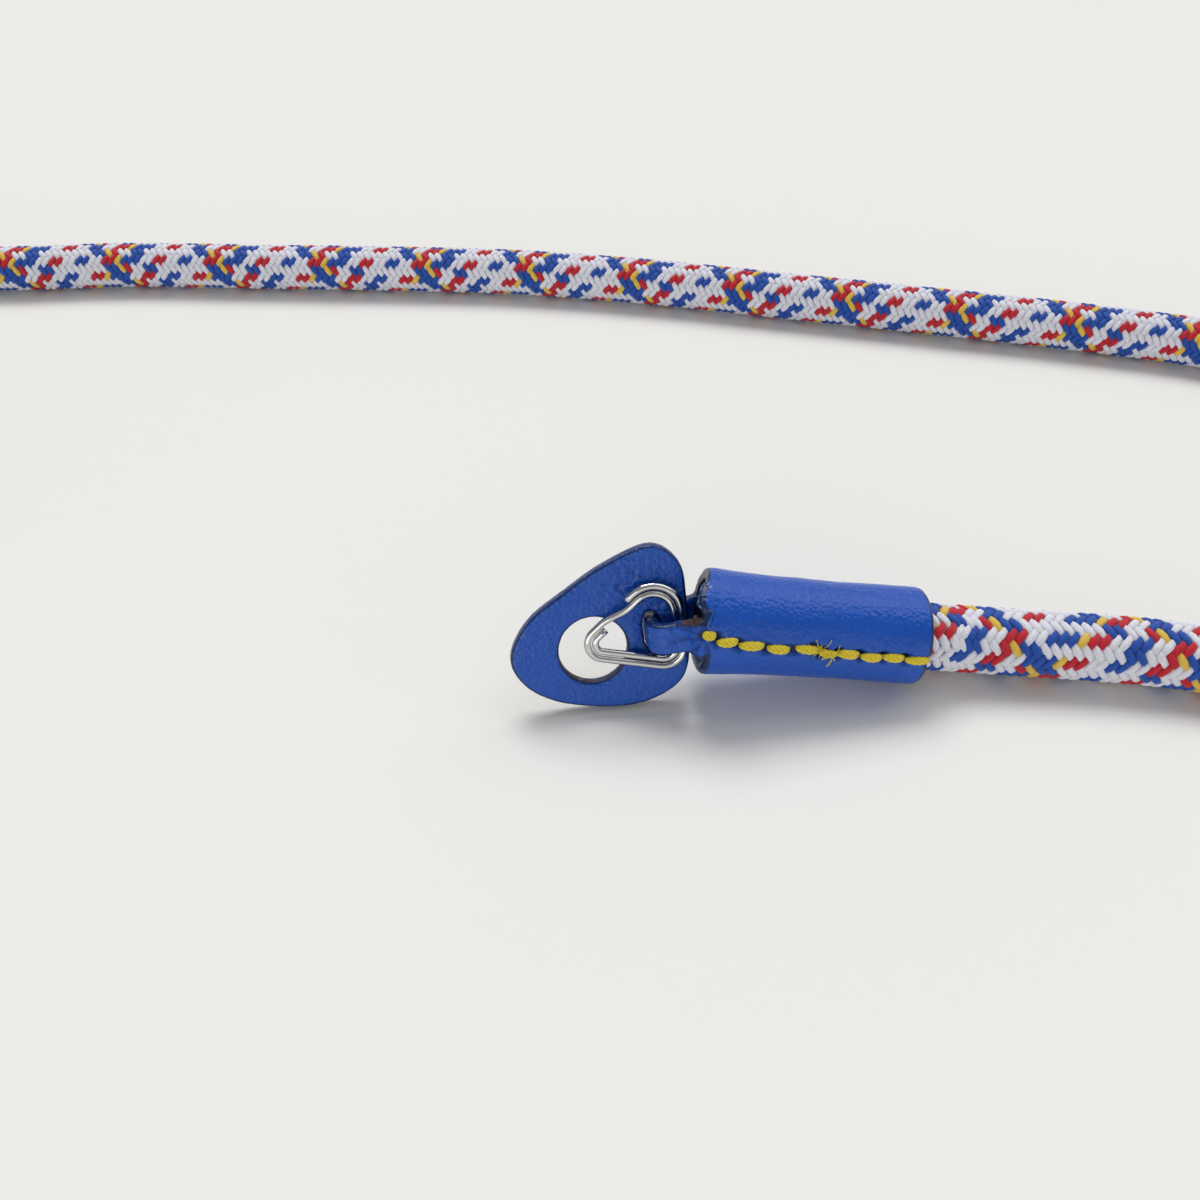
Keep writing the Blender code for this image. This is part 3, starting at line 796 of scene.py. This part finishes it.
def dress_sleeve(item, seed):
    places, outward = read_points(item)
    x, y, z = places.T
    radius, angle = np.hypot(y, z), np.degrees(np.arctan2(z, -y))
    drawn = lip_shift(x, angle)
    seen_x = x + drawn
    on_sleeve = ramp(x, START - 0.3, START + 0.3)
    outside = ramp(radius, SLEEVE_BORE + 0.9, SLEEVE_BORE + 1.4) * on_sleeve
    front = ramp(-y, *SEEN_SIDE)

    dents, holes = np.zeros(len(places)), np.zeros(len(places))
    for hole_x, hole_angle in needle_holes():
        away = np.hypot(seen_x - hole_x, np.radians(angle - hole_angle) * SLEEVE_OUTSIDE)
        hole = bell(away, 0, HOLE_SIZE) * front
        dents += RIM_HEIGHT * bell(away, RIM_AT, RIM_SIZE) * front - HOLE_DEPTH * hole
        holes = np.maximum(holes, hole)
    fan = np.degrees(np.arctan2(z - CREASE_FROM[1], CREASE_FROM[0] - seen_x))
    away = np.hypot(seen_x - CREASE_FROM[0], z - CREASE_FROM[1])
    wander = ripple(places, 2.4, seed + 3)
    fan_out = bell(away, CREASE_REACH, CREASE_REACH) * front * ramp(START + 1.0 - seen_x, 0, 1.6)
    creases = np.maximum(np.cos(np.radians(CREASES * fan + CREASE_WANDER * wander)), 0) ** 2
    dents -= CREASE_DEPTH * creases * fan_out
    dents += JOINT_SWELL * ramp(x, START - 2.6, START - 0.2) * (1 - on_sleeve) * front
    dents += (WAVES * ripple(places, 5.0, seed) + PEBBLES * ripple(places, 1.3, seed + 1)) * outside
    tongue = (1 - ramp(x, START - 0.2, START + 1.6)) * (np.abs(z) < 3.6)
    dents += TONGUE_WAVES * ripple(places * [0.45, 1, 2.0], 1.0, seed + 2) * tongue

    moved = places + outward * dents[:, None]
    lip = (1 - ramp(x, START, START + 1.6)) * on_sleeve * ramp(radius, SLEEVE_BORE - 0.2, SLEEVE_BORE + 0.4)
    roughness = EDGE_ROUGHNESS + TORN_DEPTH * bell(angle, TORN_AT, TORN_SPREAD)
    edge_noise = ripple(places * [0.2, 1, 1], 0.8, seed + 4)
    gap = GAP_DEPTH * bell(angle, GAP_AT, GAP_SPREAD)
    moved[:, 0] += drawn + lip * (roughness * edge_noise + gap)
    curl = bell(angle, CURL_AT, CURL_SPREAD) * lip
    moved += outward * (CURL_HEIGHT * curl * outside)[:, None]
    write_points(item, moved)

    hung_up = z * math.cos(TONGUE_DROOP) - (x - TONGUE_PIVOT.x / MM) * math.sin(TONGUE_DROOP)
    aside = np.abs(hung_up)
    joined = (1 - ramp(aside, TONGUE_HALF - 0.3, TONGUE_HALF)) * ramp(-y, 2.0, 3.0)
    end_face = ramp(np.abs(outward[:, 0]), 0.25, 0.5)
    near = (1 - ramp(x, START + 0.1, START + 0.55)) * end_face * on_sleeve * (1 - joined)
    mouth = ramp(x, END - 0.62, END - 0.34)
    sides = ramp(aside, TONGUE_HALF - 0.34, TONGUE_HALF - 0.14) * (1 - on_sleeve)
    inside = (1 - ramp(radius, SLEEVE_BORE + 0.35, SLEEVE_BORE + 0.9)) * on_sleeve
    from_chip = CHIP_AT[1] - np.abs(seen_x - CHIP_AT[0])
    at_front = ramp(-y, 1.5, 2.2)
    chip = ramp(from_chip, -0.1, 0.25 + 0.3 * wander) * (hung_up > 0)
    chip_rim = ramp(from_chip + 0.5, -0.1, 0.4) * ramp(sides, 0.1, 0.5)
    write_mask(item, "cut_edge", np.maximum(np.maximum(near, mouth), sides))
    write_mask(item, "flesh", inside)
    write_mask(item, "worn", chip * ramp(sides, 0.5, 0.8) * at_front)
    write_mask(item, "rim_wear", chip_rim * at_front * ramp(hung_up, 0, 1))
    # painted shade: near black in each needle hole and along the creases that fan from the first stitch
    write_mask(item, "painted_shade", np.maximum(holes, CREASE_SHADE * creases**2 * fan_out))


SLEEVE_VOXEL = 0.24 * MM
sleeves = {}
for side_name, side in SIDES.items():
    sleeve = even_form(f"leather_sleeve_{side_name}", f"sleeve_{side_name}", SLEEVE_VOXEL, end_place(side))
    dress_sleeve(sleeve, 1 + side)
    sleeves[side_name] = sleeve
    print(sleeve.name, "has", triangles(sleeve), "triangles")

# %% Protector
WRINKLES_AT = (-5.5, 7.5)  # along, up
WRINKLES_SIZE = (5.0, 3.4)
WRINKLE_HEIGHT, WRINKLE_DEPTH, WRINKLE_SHADE = 0.20, 0.17, 0.45
SLOT_AT = -3.64
SLOT_WRINKLES = (3.4, 5.0)
SLOT_HALF_WIDTH, SLOT_HALF_HEIGHT = 1.34, 2.8
SLOT_CLOSED = 0.26  # how far the soft slot has closed round the tongue
SLOT_HOLLOW, SLOT_HOLLOW_SIZE = 0.16, (2.2, 3.6)
FACE_WAVES, FACE_PEBBLES = 0.14, 0.025
ROUND_HOLE_AT = (-12.03, -1.5)
ROUND_HOLE_RADIUS = 4.85
RAW_AT, RAW_SPREAD = -125.0, 50.0  # where the hole's wall has lost its paint, in degrees
WALL_SHADE = 0.6


def dress_protector(item, seed):
    places, outward = read_points(item)
    x, y, z = places.T
    facing = np.abs(outward[:, 1])
    flat = ramp(facing, 0.75, 0.95)
    top = bell(x, WRINKLES_AT[0], WRINKLES_SIZE[0]) * bell(z, WRINKLES_AT[1], WRINKLES_SIZE[1])
    slot = bell(x, SLOT_AT, SLOT_WRINKLES[0]) * bell(z, 0, SLOT_WRINKLES[1])
    hollow = bell(x, SLOT_AT, SLOT_HOLLOW_SIZE[0]) * bell(z, 0, SLOT_HOLLOW_SIZE[1])
    coarse = ripple(places * [1, 1, 1.7], 0.85, seed)
    across = np.abs(ripple(places * [1.5, 1, 0.8], 1.3, seed + 4))
    dents = WRINKLE_HEIGHT * coarse * (top + 0.6 * slot)
    dents -= WRINKLE_DEPTH * np.maximum(1 - 3 * across, 0) * (top + 0.5 * slot)
    dents += FACE_WAVES * ripple(places, 4.0, seed + 1) - SLOT_HOLLOW * hollow
    dents = dents * flat + FACE_PEBBLES * ripple(places, 0.8, seed + 2)
    moved = places + outward * dents[:, None]
    wide, high = (x - SLOT_AT) / SLOT_HALF_WIDTH, z / SLOT_HALF_HEIGHT
    slot_wall = 1 - ramp(np.maximum(np.abs(wide), np.abs(high)), 1.1, 2.2)
    moved[:, 0] -= np.sign(wide) * SLOT_CLOSED * slot_wall * (np.abs(wide) > 0.6)
    write_points(item, moved)

    hole_x, hole_z = x - ROUND_HOLE_AT[0], z - ROUND_HOLE_AT[1]
    hole_wall = 1 - ramp(np.hypot(hole_x, hole_z), ROUND_HOLE_RADIUS + 0.1, ROUND_HOLE_RADIUS + 0.45)
    hole_wall *= 1 - ramp(facing, 0.4, 0.7)
    raw = bell(np.degrees(np.arctan2(hole_z, hole_x)), RAW_AT, RAW_SPREAD) * hole_wall
    wrinkles = WRINKLE_SHADE * np.maximum(1 - 7 * across, 0) * (top + 0.6 * slot) * flat
    write_mask(item, "cut_edge", 1 - ramp(facing, 0.78, 0.94))
    write_mask(item, "flesh", ramp(outward[:, 1], 0.7, 0.9))
    write_mask(item, "worn", raw * ramp(0.6 + ripple(places, 0.7, seed + 5), 0.2, 0.5))
    write_mask(item, "rim_wear", np.zeros(len(places)))
    # painted shade: near black on the round hole's wall where its paint is whole, and in the wrinkles
    write_mask(item, "painted_shade", np.maximum((1 - raw) * hole_wall * WALL_SHADE, wrinkles))


PROTECTOR_VOXEL = 0.22 * MM
protectors = {}
for side_name, side in SIDES.items():
    protector = even_form(f"leather_protector_{side_name}", f"protector_{side_name}", PROTECTOR_VOXEL,
                          hung_place(side))
    dress_protector(protector, 5 + side)
    protectors[side_name] = protector
    print(protector.name, "has", triangles(protector), "triangles")

# %% [markdown]
# ## Blue leather with painted edges
#
# The grain side is a smooth finished leather with a fine pebble, bright blue and softly shining. The
# cut edges are painted a much darker blue, and the flesh side is dull. The masks that the cells
# above wrote on the points say which is which, so one material does the whole piece. One mask is
# painted shade: it darkens the needle holes, the creases, the wrinkles and the wall of the
# protector's round hole. The grooves between the pebbles are painted a little darker, also as shade.

# %% Material of the leather
LEATHER_BLUE = (0.0020, 0.092, 0.520, 1)
LEATHER_DEEP = (0.0015, 0.064, 0.400, 1)
EDGE_PAINT = (0.004, 0.030, 0.150, 1)
EDGE_LINE = (0.003, 0.006, 0.016, 1)
FLESH_DARK = (0.024, 0.021, 0.027, 1)
BARE_BROWN = (0.060, 0.030, 0.019, 1)
CRACKED_BLUE = (0.090, 0.220, 0.480, 1)
# painted shade, for the needle holes, the creases, the wrinkles and the round hole's wall
PAINTED_SHADE_COLOUR = (0.003, 0.004, 0.010, 1)


def mask_node(tree, name):
    return add(tree, "ShaderNodeAttribute", attribute_name=name).outputs["Fac"]


def leather_material():
    made, tree, shader = principled("blue_leather", 0.36, 0.44)

    def m(operation, *values):
        return math_node(tree, operation, *values)

    place = object_place(tree)
    wobble = scaled(tree, noise_node(tree, place, 900.0, output="Color"), 0.30 * MM)
    pebbles = add(tree, "ShaderNodeTexVoronoi", {
        "Vector": vector_math(tree, "ADD", place, wobble), "Scale": 1850.0, "Smoothness": 0.5,
    }, feature="SMOOTH_F1").outputs["Distance"]
    fine = noise_node(tree, place, 2600.0)
    broad = noise_node(tree, place, 160.0, 3.0)
    cut, flesh, worn, cracked, painted_shade = (
        mask_node(tree, n) for n in ("cut_edge", "flesh", "worn", "rim_wear", "painted_shade"))

    grain = mixed_colour(tree, broad, LEATHER_DEEP, LEATHER_BLUE)
    edge_line = m("MULTIPLY", m("MULTIPLY", cut, m("SUBTRACT", 1.0, cut)), 3.4)
    speckle = m("GREATER_THAN", noise_node(tree, place, 1300.0, 3.0), 0.56)
    # painted shade: the grooves between the pebbles are darker
    colour = mixed_colour(tree, m("MULTIPLY", pebbles, 0.45), grain, LEATHER_DEEP)
    # the last pair paints shade into the holes, creases, wrinkles and the round hole's wall
    for mask, look in ((flesh, FLESH_DARK), (cut, EDGE_PAINT), (edge_line, EDGE_LINE),
                       (m("MULTIPLY", cracked, speckle), CRACKED_BLUE), (worn, BARE_BROWN),
                       (painted_shade, PAINTED_SHADE_COLOUR)):
        colour = mixed_colour(tree, mask, colour, look)
    feed(tree, shader.inputs["Base Color"], colour)
    dull = m("MAXIMUM", m("MAXIMUM", flesh, worn), painted_shade)
    rough = m("ADD", m("ADD", 0.25, m("MULTIPLY", fine, 0.12)), m("MULTIPLY", dull, 0.45))
    feed(tree, shader.inputs["Roughness"], rough)
    height = m("ADD", m("MULTIPLY", pebbles, -1.0), m("MULTIPLY", fine, 0.3))
    bumped(tree, shader, height, 1.0, 0.11 * MM)
    return made


LEATHER_LOOK = leather_material()
for pieces, stem, place_of in ((sleeves, "sleeve", end_place), (protectors, "protector", hung_place)):
    for side_name, piece in pieces.items():
        piece.data.materials.append(LEATHER_LOOK)
        piece.data.transform(place_of(SIDES[side_name]))
        piece.data.shade_smooth()
        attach(piece, "root")
        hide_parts(f"{stem}_{side_name}")

# %% [markdown]
# ## The split ring
#
# The ring is one spring-steel wire wound almost twice into a rounded triangle, the second turn round
# the outside of the first, like a key ring. Its middle line is drawn from three rounded corners, and
# a round tube with softened ends follows it.

# %% The ring's wire
RING_WIRE = 1.0 * MM
RING_PITCH = 1.1 * MM
RING_LENGTH = 12.5 * MM
RING_TOP = 5.9 * MM
RING_BOTTOM = 3.9 * MM
RING_TIP_DROP = 0.8 * MM
RING_TIP_RADIUS = 1.2 * MM
RING_TOP_RADIUS = 2.9 * MM
RING_BOTTOM_RADIUS = 1.8 * MM
RING_HINGE_Y = -1.1 * MM
TIP_CLOSER = 0.55 * MM  # how much closer to the leather the tip lies than the hinge
RING_LEAN = -math.asin(TIP_CLOSER / (RING_LENGTH + RING_PITCH))
WIRE_SIDES = 18
ARC_STEPS = 14  # in each rounded corner
TIP_CORNER = 0.55  # how far past the tip its corner lies, as a share of the tip's radius
WIRE_STARTS, WIRE_ENDS = 0.80, 0.15  # shares of the upper leg, from the top to the tip
STEP_FROM, STEP_SPAN, STEP_POINTS = 0.18, 0.60, 9  # where the wire climbs to its second turn


def fillet(before, corner, after, radius, steps):
    """Points and outward directions of the arc that rounds a corner of the ring."""
    into, out = (before - corner).normalized(), (after - corner).normalized()
    half = into.angle(out) / 2
    middle = corner + (into + out).normalized() * radius / math.sin(half)
    start = (corner + into * radius / math.tan(half) - middle).normalized()
    end = (corner + out * radius / math.tan(half) - middle).normalized()
    turns = [start.slerp(end, k / steps) for k in range(steps + 1)]
    return [(middle + turn * radius, turn) for turn in turns]


def leg_corner(tip, reach, radius, hinge):
    """Where a leg from the tip, rounded off at the given reach, would meet the hinge line."""
    side = math.copysign(1, reach)
    to_middle = Vector((hinge - radius, reach - side * radius)) - tip
    slope = math.atan2(to_middle.y, to_middle.x) + side * math.asin(radius / to_middle.length)
    return Vector((hinge, tip.y + (hinge - tip.x) * math.tan(slope)))


def ring_line():
    hinge = -RING_PITCH / 2
    tip = Vector((-RING_LENGTH - RING_TIP_RADIUS * TIP_CORNER, -RING_TIP_DROP))
    top = leg_corner(tip, RING_TOP, RING_TOP_RADIUS, hinge)
    bottom = leg_corner(tip, -RING_BOTTOM, RING_BOTTOM_RADIUS, hinge)
    tip_arc = fillet(top, tip, bottom, RING_TIP_RADIUS, ARC_STEPS)
    top_arc = fillet(bottom, top, tip, RING_TOP_RADIUS, ARC_STEPS)
    arcs = tip_arc + fillet(tip, bottom, top, RING_BOTTOM_RADIUS, ARC_STEPS) + top_arc
    (leave, outward), (arrive, _) = top_arc[-1], tip_arc[0]
    starts = leave.lerp(arrive, WIRE_STARTS)
    ends = leave.lerp(arrive, WIRE_ENDS) + outward * RING_PITCH
    line = [starts, starts.lerp(arrive, 0.5)] + [point for point, _ in arcs]
    for k in range(STEP_POINTS):
        share = k / (STEP_POINTS - 1)
        ease = share * share * (3 - 2 * share)
        line.append(leave.lerp(arrive, STEP_FROM + STEP_SPAN * share) + outward * RING_PITCH * ease)
    line += [point + away * RING_PITCH for point, away in arcs]
    line += [line[-1].lerp(ends, 0.5), ends]
    return [Vector((p.x, 0, p.y)) for p in line]


def nickel_material():
    made, tree, shader = principled("bright_nickel", 0.1, 0.5, 1.0)
    smear = noise_node(tree, object_place(tree), 500.0, 3.0)
    colour = mixed_colour(tree, smear, (0.52, 0.51, 0.50, 1), (0.78, 0.77, 0.75, 1))
    feed(tree, shader.inputs["Base Color"], colour)
    rough = math_node(tree, "ADD", 0.05, math_node(tree, "MULTIPLY", smear, 0.10))
    feed(tree, shader.inputs["Roughness"], rough)
    bumped(tree, shader, smear, 0.12, 0.02 * MM)
    return made


NICKEL_LOOK = nickel_material()
for side_name, side in SIDES.items():
    wire = tube_mesh(f"split_ring_{side_name}", ring_line(), RING_WIRE / 2, WIRE_SIDES, Vector((0, 1, 0)))
    lean = Matrix.Translation((0, RING_HINGE_Y, 0)) @ Matrix.Rotation(RING_LEAN, 4, "Z")
    wire.data.transform(hung_place(side) @ lean)
    wire.data.materials.append(NICKEL_LOOK)
    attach(wire, f"ring_{side_name}")
    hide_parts(f"ring_{side_name}")
    print(wire.name, "has", triangles(wire), "triangles")

# %% [markdown]
# ## The stitches, laid by Geometry Nodes
#
# One stitch is drawn once: five plies of thread twisted round each other, a little arched over the
# leather and diving into it at both ends, where they draw together. The chart's rows become points
# that carry their stitch's direction, outward direction and length, and a small tree lays a stitch
# on each. A ray cast at the sleeve finds the leather's surface under each one.

# %% One stitch
STITCH_LENGTH = 3.4 * MM  # of the drawn stitch, between its two holes
THREAD_PLIES = 5
PLY_RADIUS = 0.25 * MM
PLY_OFFSET = 0.34 * MM
PLY_SIDES = 7
PLY_STEPS = 16
PLY_TURNS = 0.85
STITCH_REACH = 0.52  # a little over half its length, so that both ends dive into the leather
ARCH_POWER = 2.1
ARCH_RISE, ARCH_SINK = 0.85, 0.74  # shares of the stitch's rise
TIP_PINCH, TIP_TAPER = 0.10, 0.45  # how far the plies draw together and thin at the ends
TWIST_WIDTH, TWIST_HEIGHT = 1.30, 0.6  # the thread lies flattened on the leather
STITCH_RISE = 0.66 * MM
THREAD_SWELL = 1.02  # thickness of the sewn thread against the drawn one
THINNEST, THICKEST = 0.93, 1.08  # how far the stitches differ in thickness


def stitch_form():
    mesh = bmesh.new()
    uv = mesh.loops.layers.uv.new("yarn")
    for ply in range(THREAD_PLIES):
        line, radii = [], []
        for k in range(PLY_STEPS + 1):
            share = 2 * k / PLY_STEPS - 1
            arch = math.sqrt(max(1 - abs(share) ** ARCH_POWER, 0))
            turn = 2 * math.pi * (ply / THREAD_PLIES + PLY_TURNS * share / 2)
            pinch = TIP_PINCH + (1 - TIP_PINCH) * arch
            twist = TWIST_HEIGHT * PLY_OFFSET * pinch * math.sin(turn)
            line.append(Vector((
                share * STITCH_LENGTH * STITCH_REACH,
                TWIST_WIDTH * PLY_OFFSET * pinch * math.cos(turn),
                STITCH_RISE * (ARCH_RISE * arch - ARCH_SINK) + twist,
            )))
            radii.append(PLY_RADIUS * (1 - TIP_TAPER * abs(share) ** 3))
        add_tube(mesh, line, radii, PLY_SIDES, Vector((0, 0, 1)), uv)
    return hidden(meshed("stitch_form", mesh))


def thread_material():
    made, tree, shader = principled("yellow_thread", 0.55, 0.4)
    _, lines = yarn_lines(tree, 12, (3.0, 22.0, 1.0), 1.0)
    colour = mixed_colour(tree, lines, (0.52, 0.38, 0.010, 1), (1.0, 0.82, 0.035, 1))
    feed(tree, shader.inputs["Base Color"], colour)
    bumped(tree, shader, lines, 0.7, 0.08 * MM)
    shader.inputs["Sheen Weight"].default_value = 0.2
    return made


THREAD_LOOK = thread_material()

# %% Lay the stitches
def stitch_tree():
    tree, given, result = geometry_tree("stitches", [
        ("Stitch", "NodeSocketObject", None),
        ("Thickness", "NodeSocketFloat", 1.0),
        ("Material", "NodeSocketMaterial", None),
    ])
    reach, outward, length = (
        named_attribute(tree, name, kind)
        for name, kind in (("reach", "FLOAT_VECTOR"), ("outward", "FLOAT_VECTOR"), ("length", "FLOAT")))
    points = add(tree, "GeometryNodeMeshToPoints", {"Mesh": given["Geometry"]})
    swell = add(tree, "FunctionNodeRandomValue", {2: THINNEST, 3: THICKEST, "Seed": 3}, data_type="FLOAT")
    thick = math_node(tree, "MULTIPLY", given["Thickness"], swell.outputs[1])
    long = math_node(tree, "DIVIDE", length, STITCH_LENGTH / MM)
    size = add(tree, "ShaderNodeCombineXYZ", {"X": long, "Y": thick, "Z": thick})
    laid = laid_copies(tree, points.outputs[0], given["Stitch"], outward, reach,
                       size.outputs["Vector"], given["Material"])
    feed(tree, result["Geometry"], laid)
    return tree


STITCH_SINK = 0.06 * MM
RAY_FROM = 12.0  # millimetres from the sleeve's axis, well outside it


def seam_spot(skin, place, along, angle):
    """Where the leather's surface lies on the seam, and the outward direction there in the end's frame."""
    turn = math.radians(angle)
    outward = Vector((0, -math.cos(turn), math.sin(turn)))
    start = place @ ((Vector((along, 0, 0)) + RAY_FROM * outward) * MM)
    hit = skin.ray_cast(start, place.to_3x3() @ -outward)[0]
    return hit, outward


def stitch_points(name, skin, place):
    """One vertex for each stitch, with its direction, outward direction and length."""
    spots, reaches, outwards = [], [], []
    for row in STITCHES:
        hit, outward = seam_spot(skin, place, row["along"], row["angle"])
        lean = math.radians(row["lean"])
        around = outward.cross(Vector((1, 0, 0)))
        reaches.append(place.to_3x3() @ (Vector((math.cos(lean), 0, 0)) - around * math.sin(lean)))
        outwards.append(place.to_3x3() @ outward)
        spots.append(hit - outwards[-1] * STITCH_SINK)
    data = bpy.data.meshes.new(name)
    data.from_pydata(spots, [], [])
    for label, values in (("reach", reaches), ("outward", outwards)):
        stored = data.attributes.new(label, "FLOAT_VECTOR", "POINT")
        stored.data.foreach_set("vector", [v for value in values for v in value])
    stored = data.attributes.new("length", "FLOAT", "POINT")
    stored.data.foreach_set("value", [row["length"] for row in STITCHES])
    return linked(name, data)


STITCH_TREE = stitch_tree()
stitch = stitch_form()
skins = {}
for side_name, side in SIDES.items():
    skin = bmesh.new()
    skin.from_mesh(sleeves[side_name].data)
    skins[side_name] = BVHTree.FromBMesh(skin)
    skin.free()
    source = stitch_points(f"stitch_points_{side_name}", skins[side_name], end_place(side))
    seam = grown(f"stitches_{side_name}", source, STITCH_TREE, {
        "Stitch": stitch, "Thickness": THREAD_SWELL, "Material": THREAD_LOOK,
    })
    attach(seam, "root")
    print(seam.name, "has", triangles(seam), "triangles")
bpy.data.objects.remove(stitch)

# %% [markdown]
# ## The frayed backstitch
#
# In the middle of the seam the sewer went back one stitch and cut the thread. The cut end has frayed
# into short fine hairs. Each is a thin bevelled curve that starts in the thread and curls away from
# the leather. A generator with a fixed seed draws them, so they are the same on every run.

# %% Frayed ends
FRAY_AT = ((18.6, -6.5), (19.7, -9.0), (20.6, -12.0))  # along the sleeve and angle from its front
FRAY_SPREAD = (0.7, 4.0)  # how far from those spots a hair may start: along, angle
HAIRS = 11
HAIR_RADIUS = 0.045 * MM
HAIR_POINTS = 6
HAIR_LENGTHS = (0.9, 1.7)
HAIR_CURL = 0.5
HAIR_ROOT, HAIR_ARCH, HAIR_RISE = 0.35, 2.2, 0.55  # where it starts, how it bends, how high it gets


def frayed_ends(name, skin, place, seed):
    draw = random.Random(seed)
    data = bpy.data.curves.new(name, "CURVE")
    data.dimensions = "3D"
    data.bevel_depth = HAIR_RADIUS
    data.bevel_resolution = 1
    data.use_fill_caps = True
    for along, angle in FRAY_AT:
        for _ in range(HAIRS):
            spot_at = [v + draw.uniform(-far, far) for v, far in zip((along, angle), FRAY_SPREAD)]
            hit, outward = seam_spot(skin, place, *spot_at)
            outward = place.to_3x3() @ outward
            sideways = Vector([draw.uniform(-1, 1) for _ in range(3)]).cross(outward).normalized()
            curl = sideways.cross(outward) * draw.uniform(-HAIR_CURL, HAIR_CURL)
            length = draw.uniform(*HAIR_LENGTHS) * MM
            spline = data.splines.new("POLY")
            spline.points.add(HAIR_POINTS - 1)
            for k, spot in enumerate(spline.points):
                share = k / (HAIR_POINTS - 1)
                rise = (HAIR_ROOT + math.sin(share * HAIR_ARCH)) * HAIR_RISE * MM
                place_now = hit + outward * rise + (sideways * share + curl * share**2) * length
                spot.co = (*place_now, 1.0)
    source = linked(name + "_curves", data)
    made = linked(name, evaluated_mesh(source))
    bpy.data.objects.remove(source)
    made.data.materials.clear()
    made.data.materials.append(THREAD_LOOK)
    return made


for side_name, side in SIDES.items():
    fray = frayed_ends(f"frayed_thread_{side_name}", skins[side_name], end_place(side), 4)
    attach(fray, "root")
    print(fray.name, "has", triangles(fray), "triangles")

# %% [markdown]
# ## Table and light
#
# The strap lies on a plain pale table. The picture's main light is soft and high behind the strap,
# where it draws the bright band along the sleeve. Two weaker ones, one from above and one low in
# front, lighten the shadows. All three are wide suns, because a sun lights the whole table evenly.
# The world is pale near the horizon and darker above, so the nickel has something dark to reflect.

# %% Floor
FLOOR_COLOUR = (0.86, 0.855, 0.82)
FLOOR_MOTTLE = 0.985  # the darkest patches against the palest
FLOOR_HALF = 3.0


def floor_material():
    made, tree, shader = principled("pale_table", 0.9, 0.1)
    mottle = noise_node(tree, object_place(tree), 9.0)
    dark = (*[v * FLOOR_MOTTLE for v in FLOOR_COLOUR], 1)
    feed(tree, shader.inputs["Base Color"], mixed_colour(tree, mottle, dark, (*FLOOR_COLOUR, 1)))
    return made


floor_data = bpy.data.meshes.new("table")
corners = [(x * FLOOR_HALF, y * FLOOR_HALF, 0) for x, y in ((-1, -1), (1, -1), (1, 1), (-1, 1))]
floor_data.from_pydata(corners, [], [(0, 1, 2, 3)])
floor_data.materials.append(floor_material())
table = linked("table", floor_data)

# %% Lights
LIGHTS = [  # where it comes from, how wide it looks in degrees, and its strength
    {"name": "key", "from": (-0.18, 0.69, 1.15), "width": 30, "strength": 1.65},
    {"name": "overhead", "from": (0.62, 0.48, 1.00), "width": 50, "strength": 0.70},
    {"name": "low_fill", "from": (-0.38, -1.2, 0.25), "width": 40, "strength": 0.55},
]
HORIZON, ZENITH = (0.78, 0.78, 0.76, 1), (0.26, 0.26, 0.27, 1)
HORIZON_TOP, ZENITH_FROM = 0.05, 0.45  # heights on a globe of radius one
SKY_STRENGTH = 1.1
for row in LIGHTS:
    lamp_data = bpy.data.lights.new(row["name"], "SUN")
    lamp_data.angle = math.radians(row["width"])
    lamp_data.energy = row["strength"]
    lamp = linked(row["name"], lamp_data)
    lamp.location = row["from"]
    lamp.rotation_euler = (-lamp.location).to_track_quat("-Z", "Y").to_euler()
world = bpy.data.worlds.new("studio")
world.use_nodes = True
sky_tree = world.node_tree
globe = add(sky_tree, "ShaderNodeTexCoord").outputs["Generated"]
height = add(sky_tree, "ShaderNodeSeparateXYZ", {0: globe}).outputs["Z"]
span = {"Value": height, "From Min": HORIZON_TOP, "From Max": ZENITH_FROM}
rise = add(sky_tree, "ShaderNodeMapRange", span)
sky = sky_tree.nodes["Background"]
feed(sky_tree, sky.inputs["Color"], mixed_colour(sky_tree, rise.outputs["Result"], HORIZON, ZENITH))
sky.inputs["Strength"].default_value = SKY_STRENGTH
bpy.context.scene.world = world
print("lights:", ", ".join(row["name"] for row in LIGHTS))

# %% Remove the spare forms
for spare in [*floats.values(), *charts.values()]:
    bpy.data.objects.remove(spare)
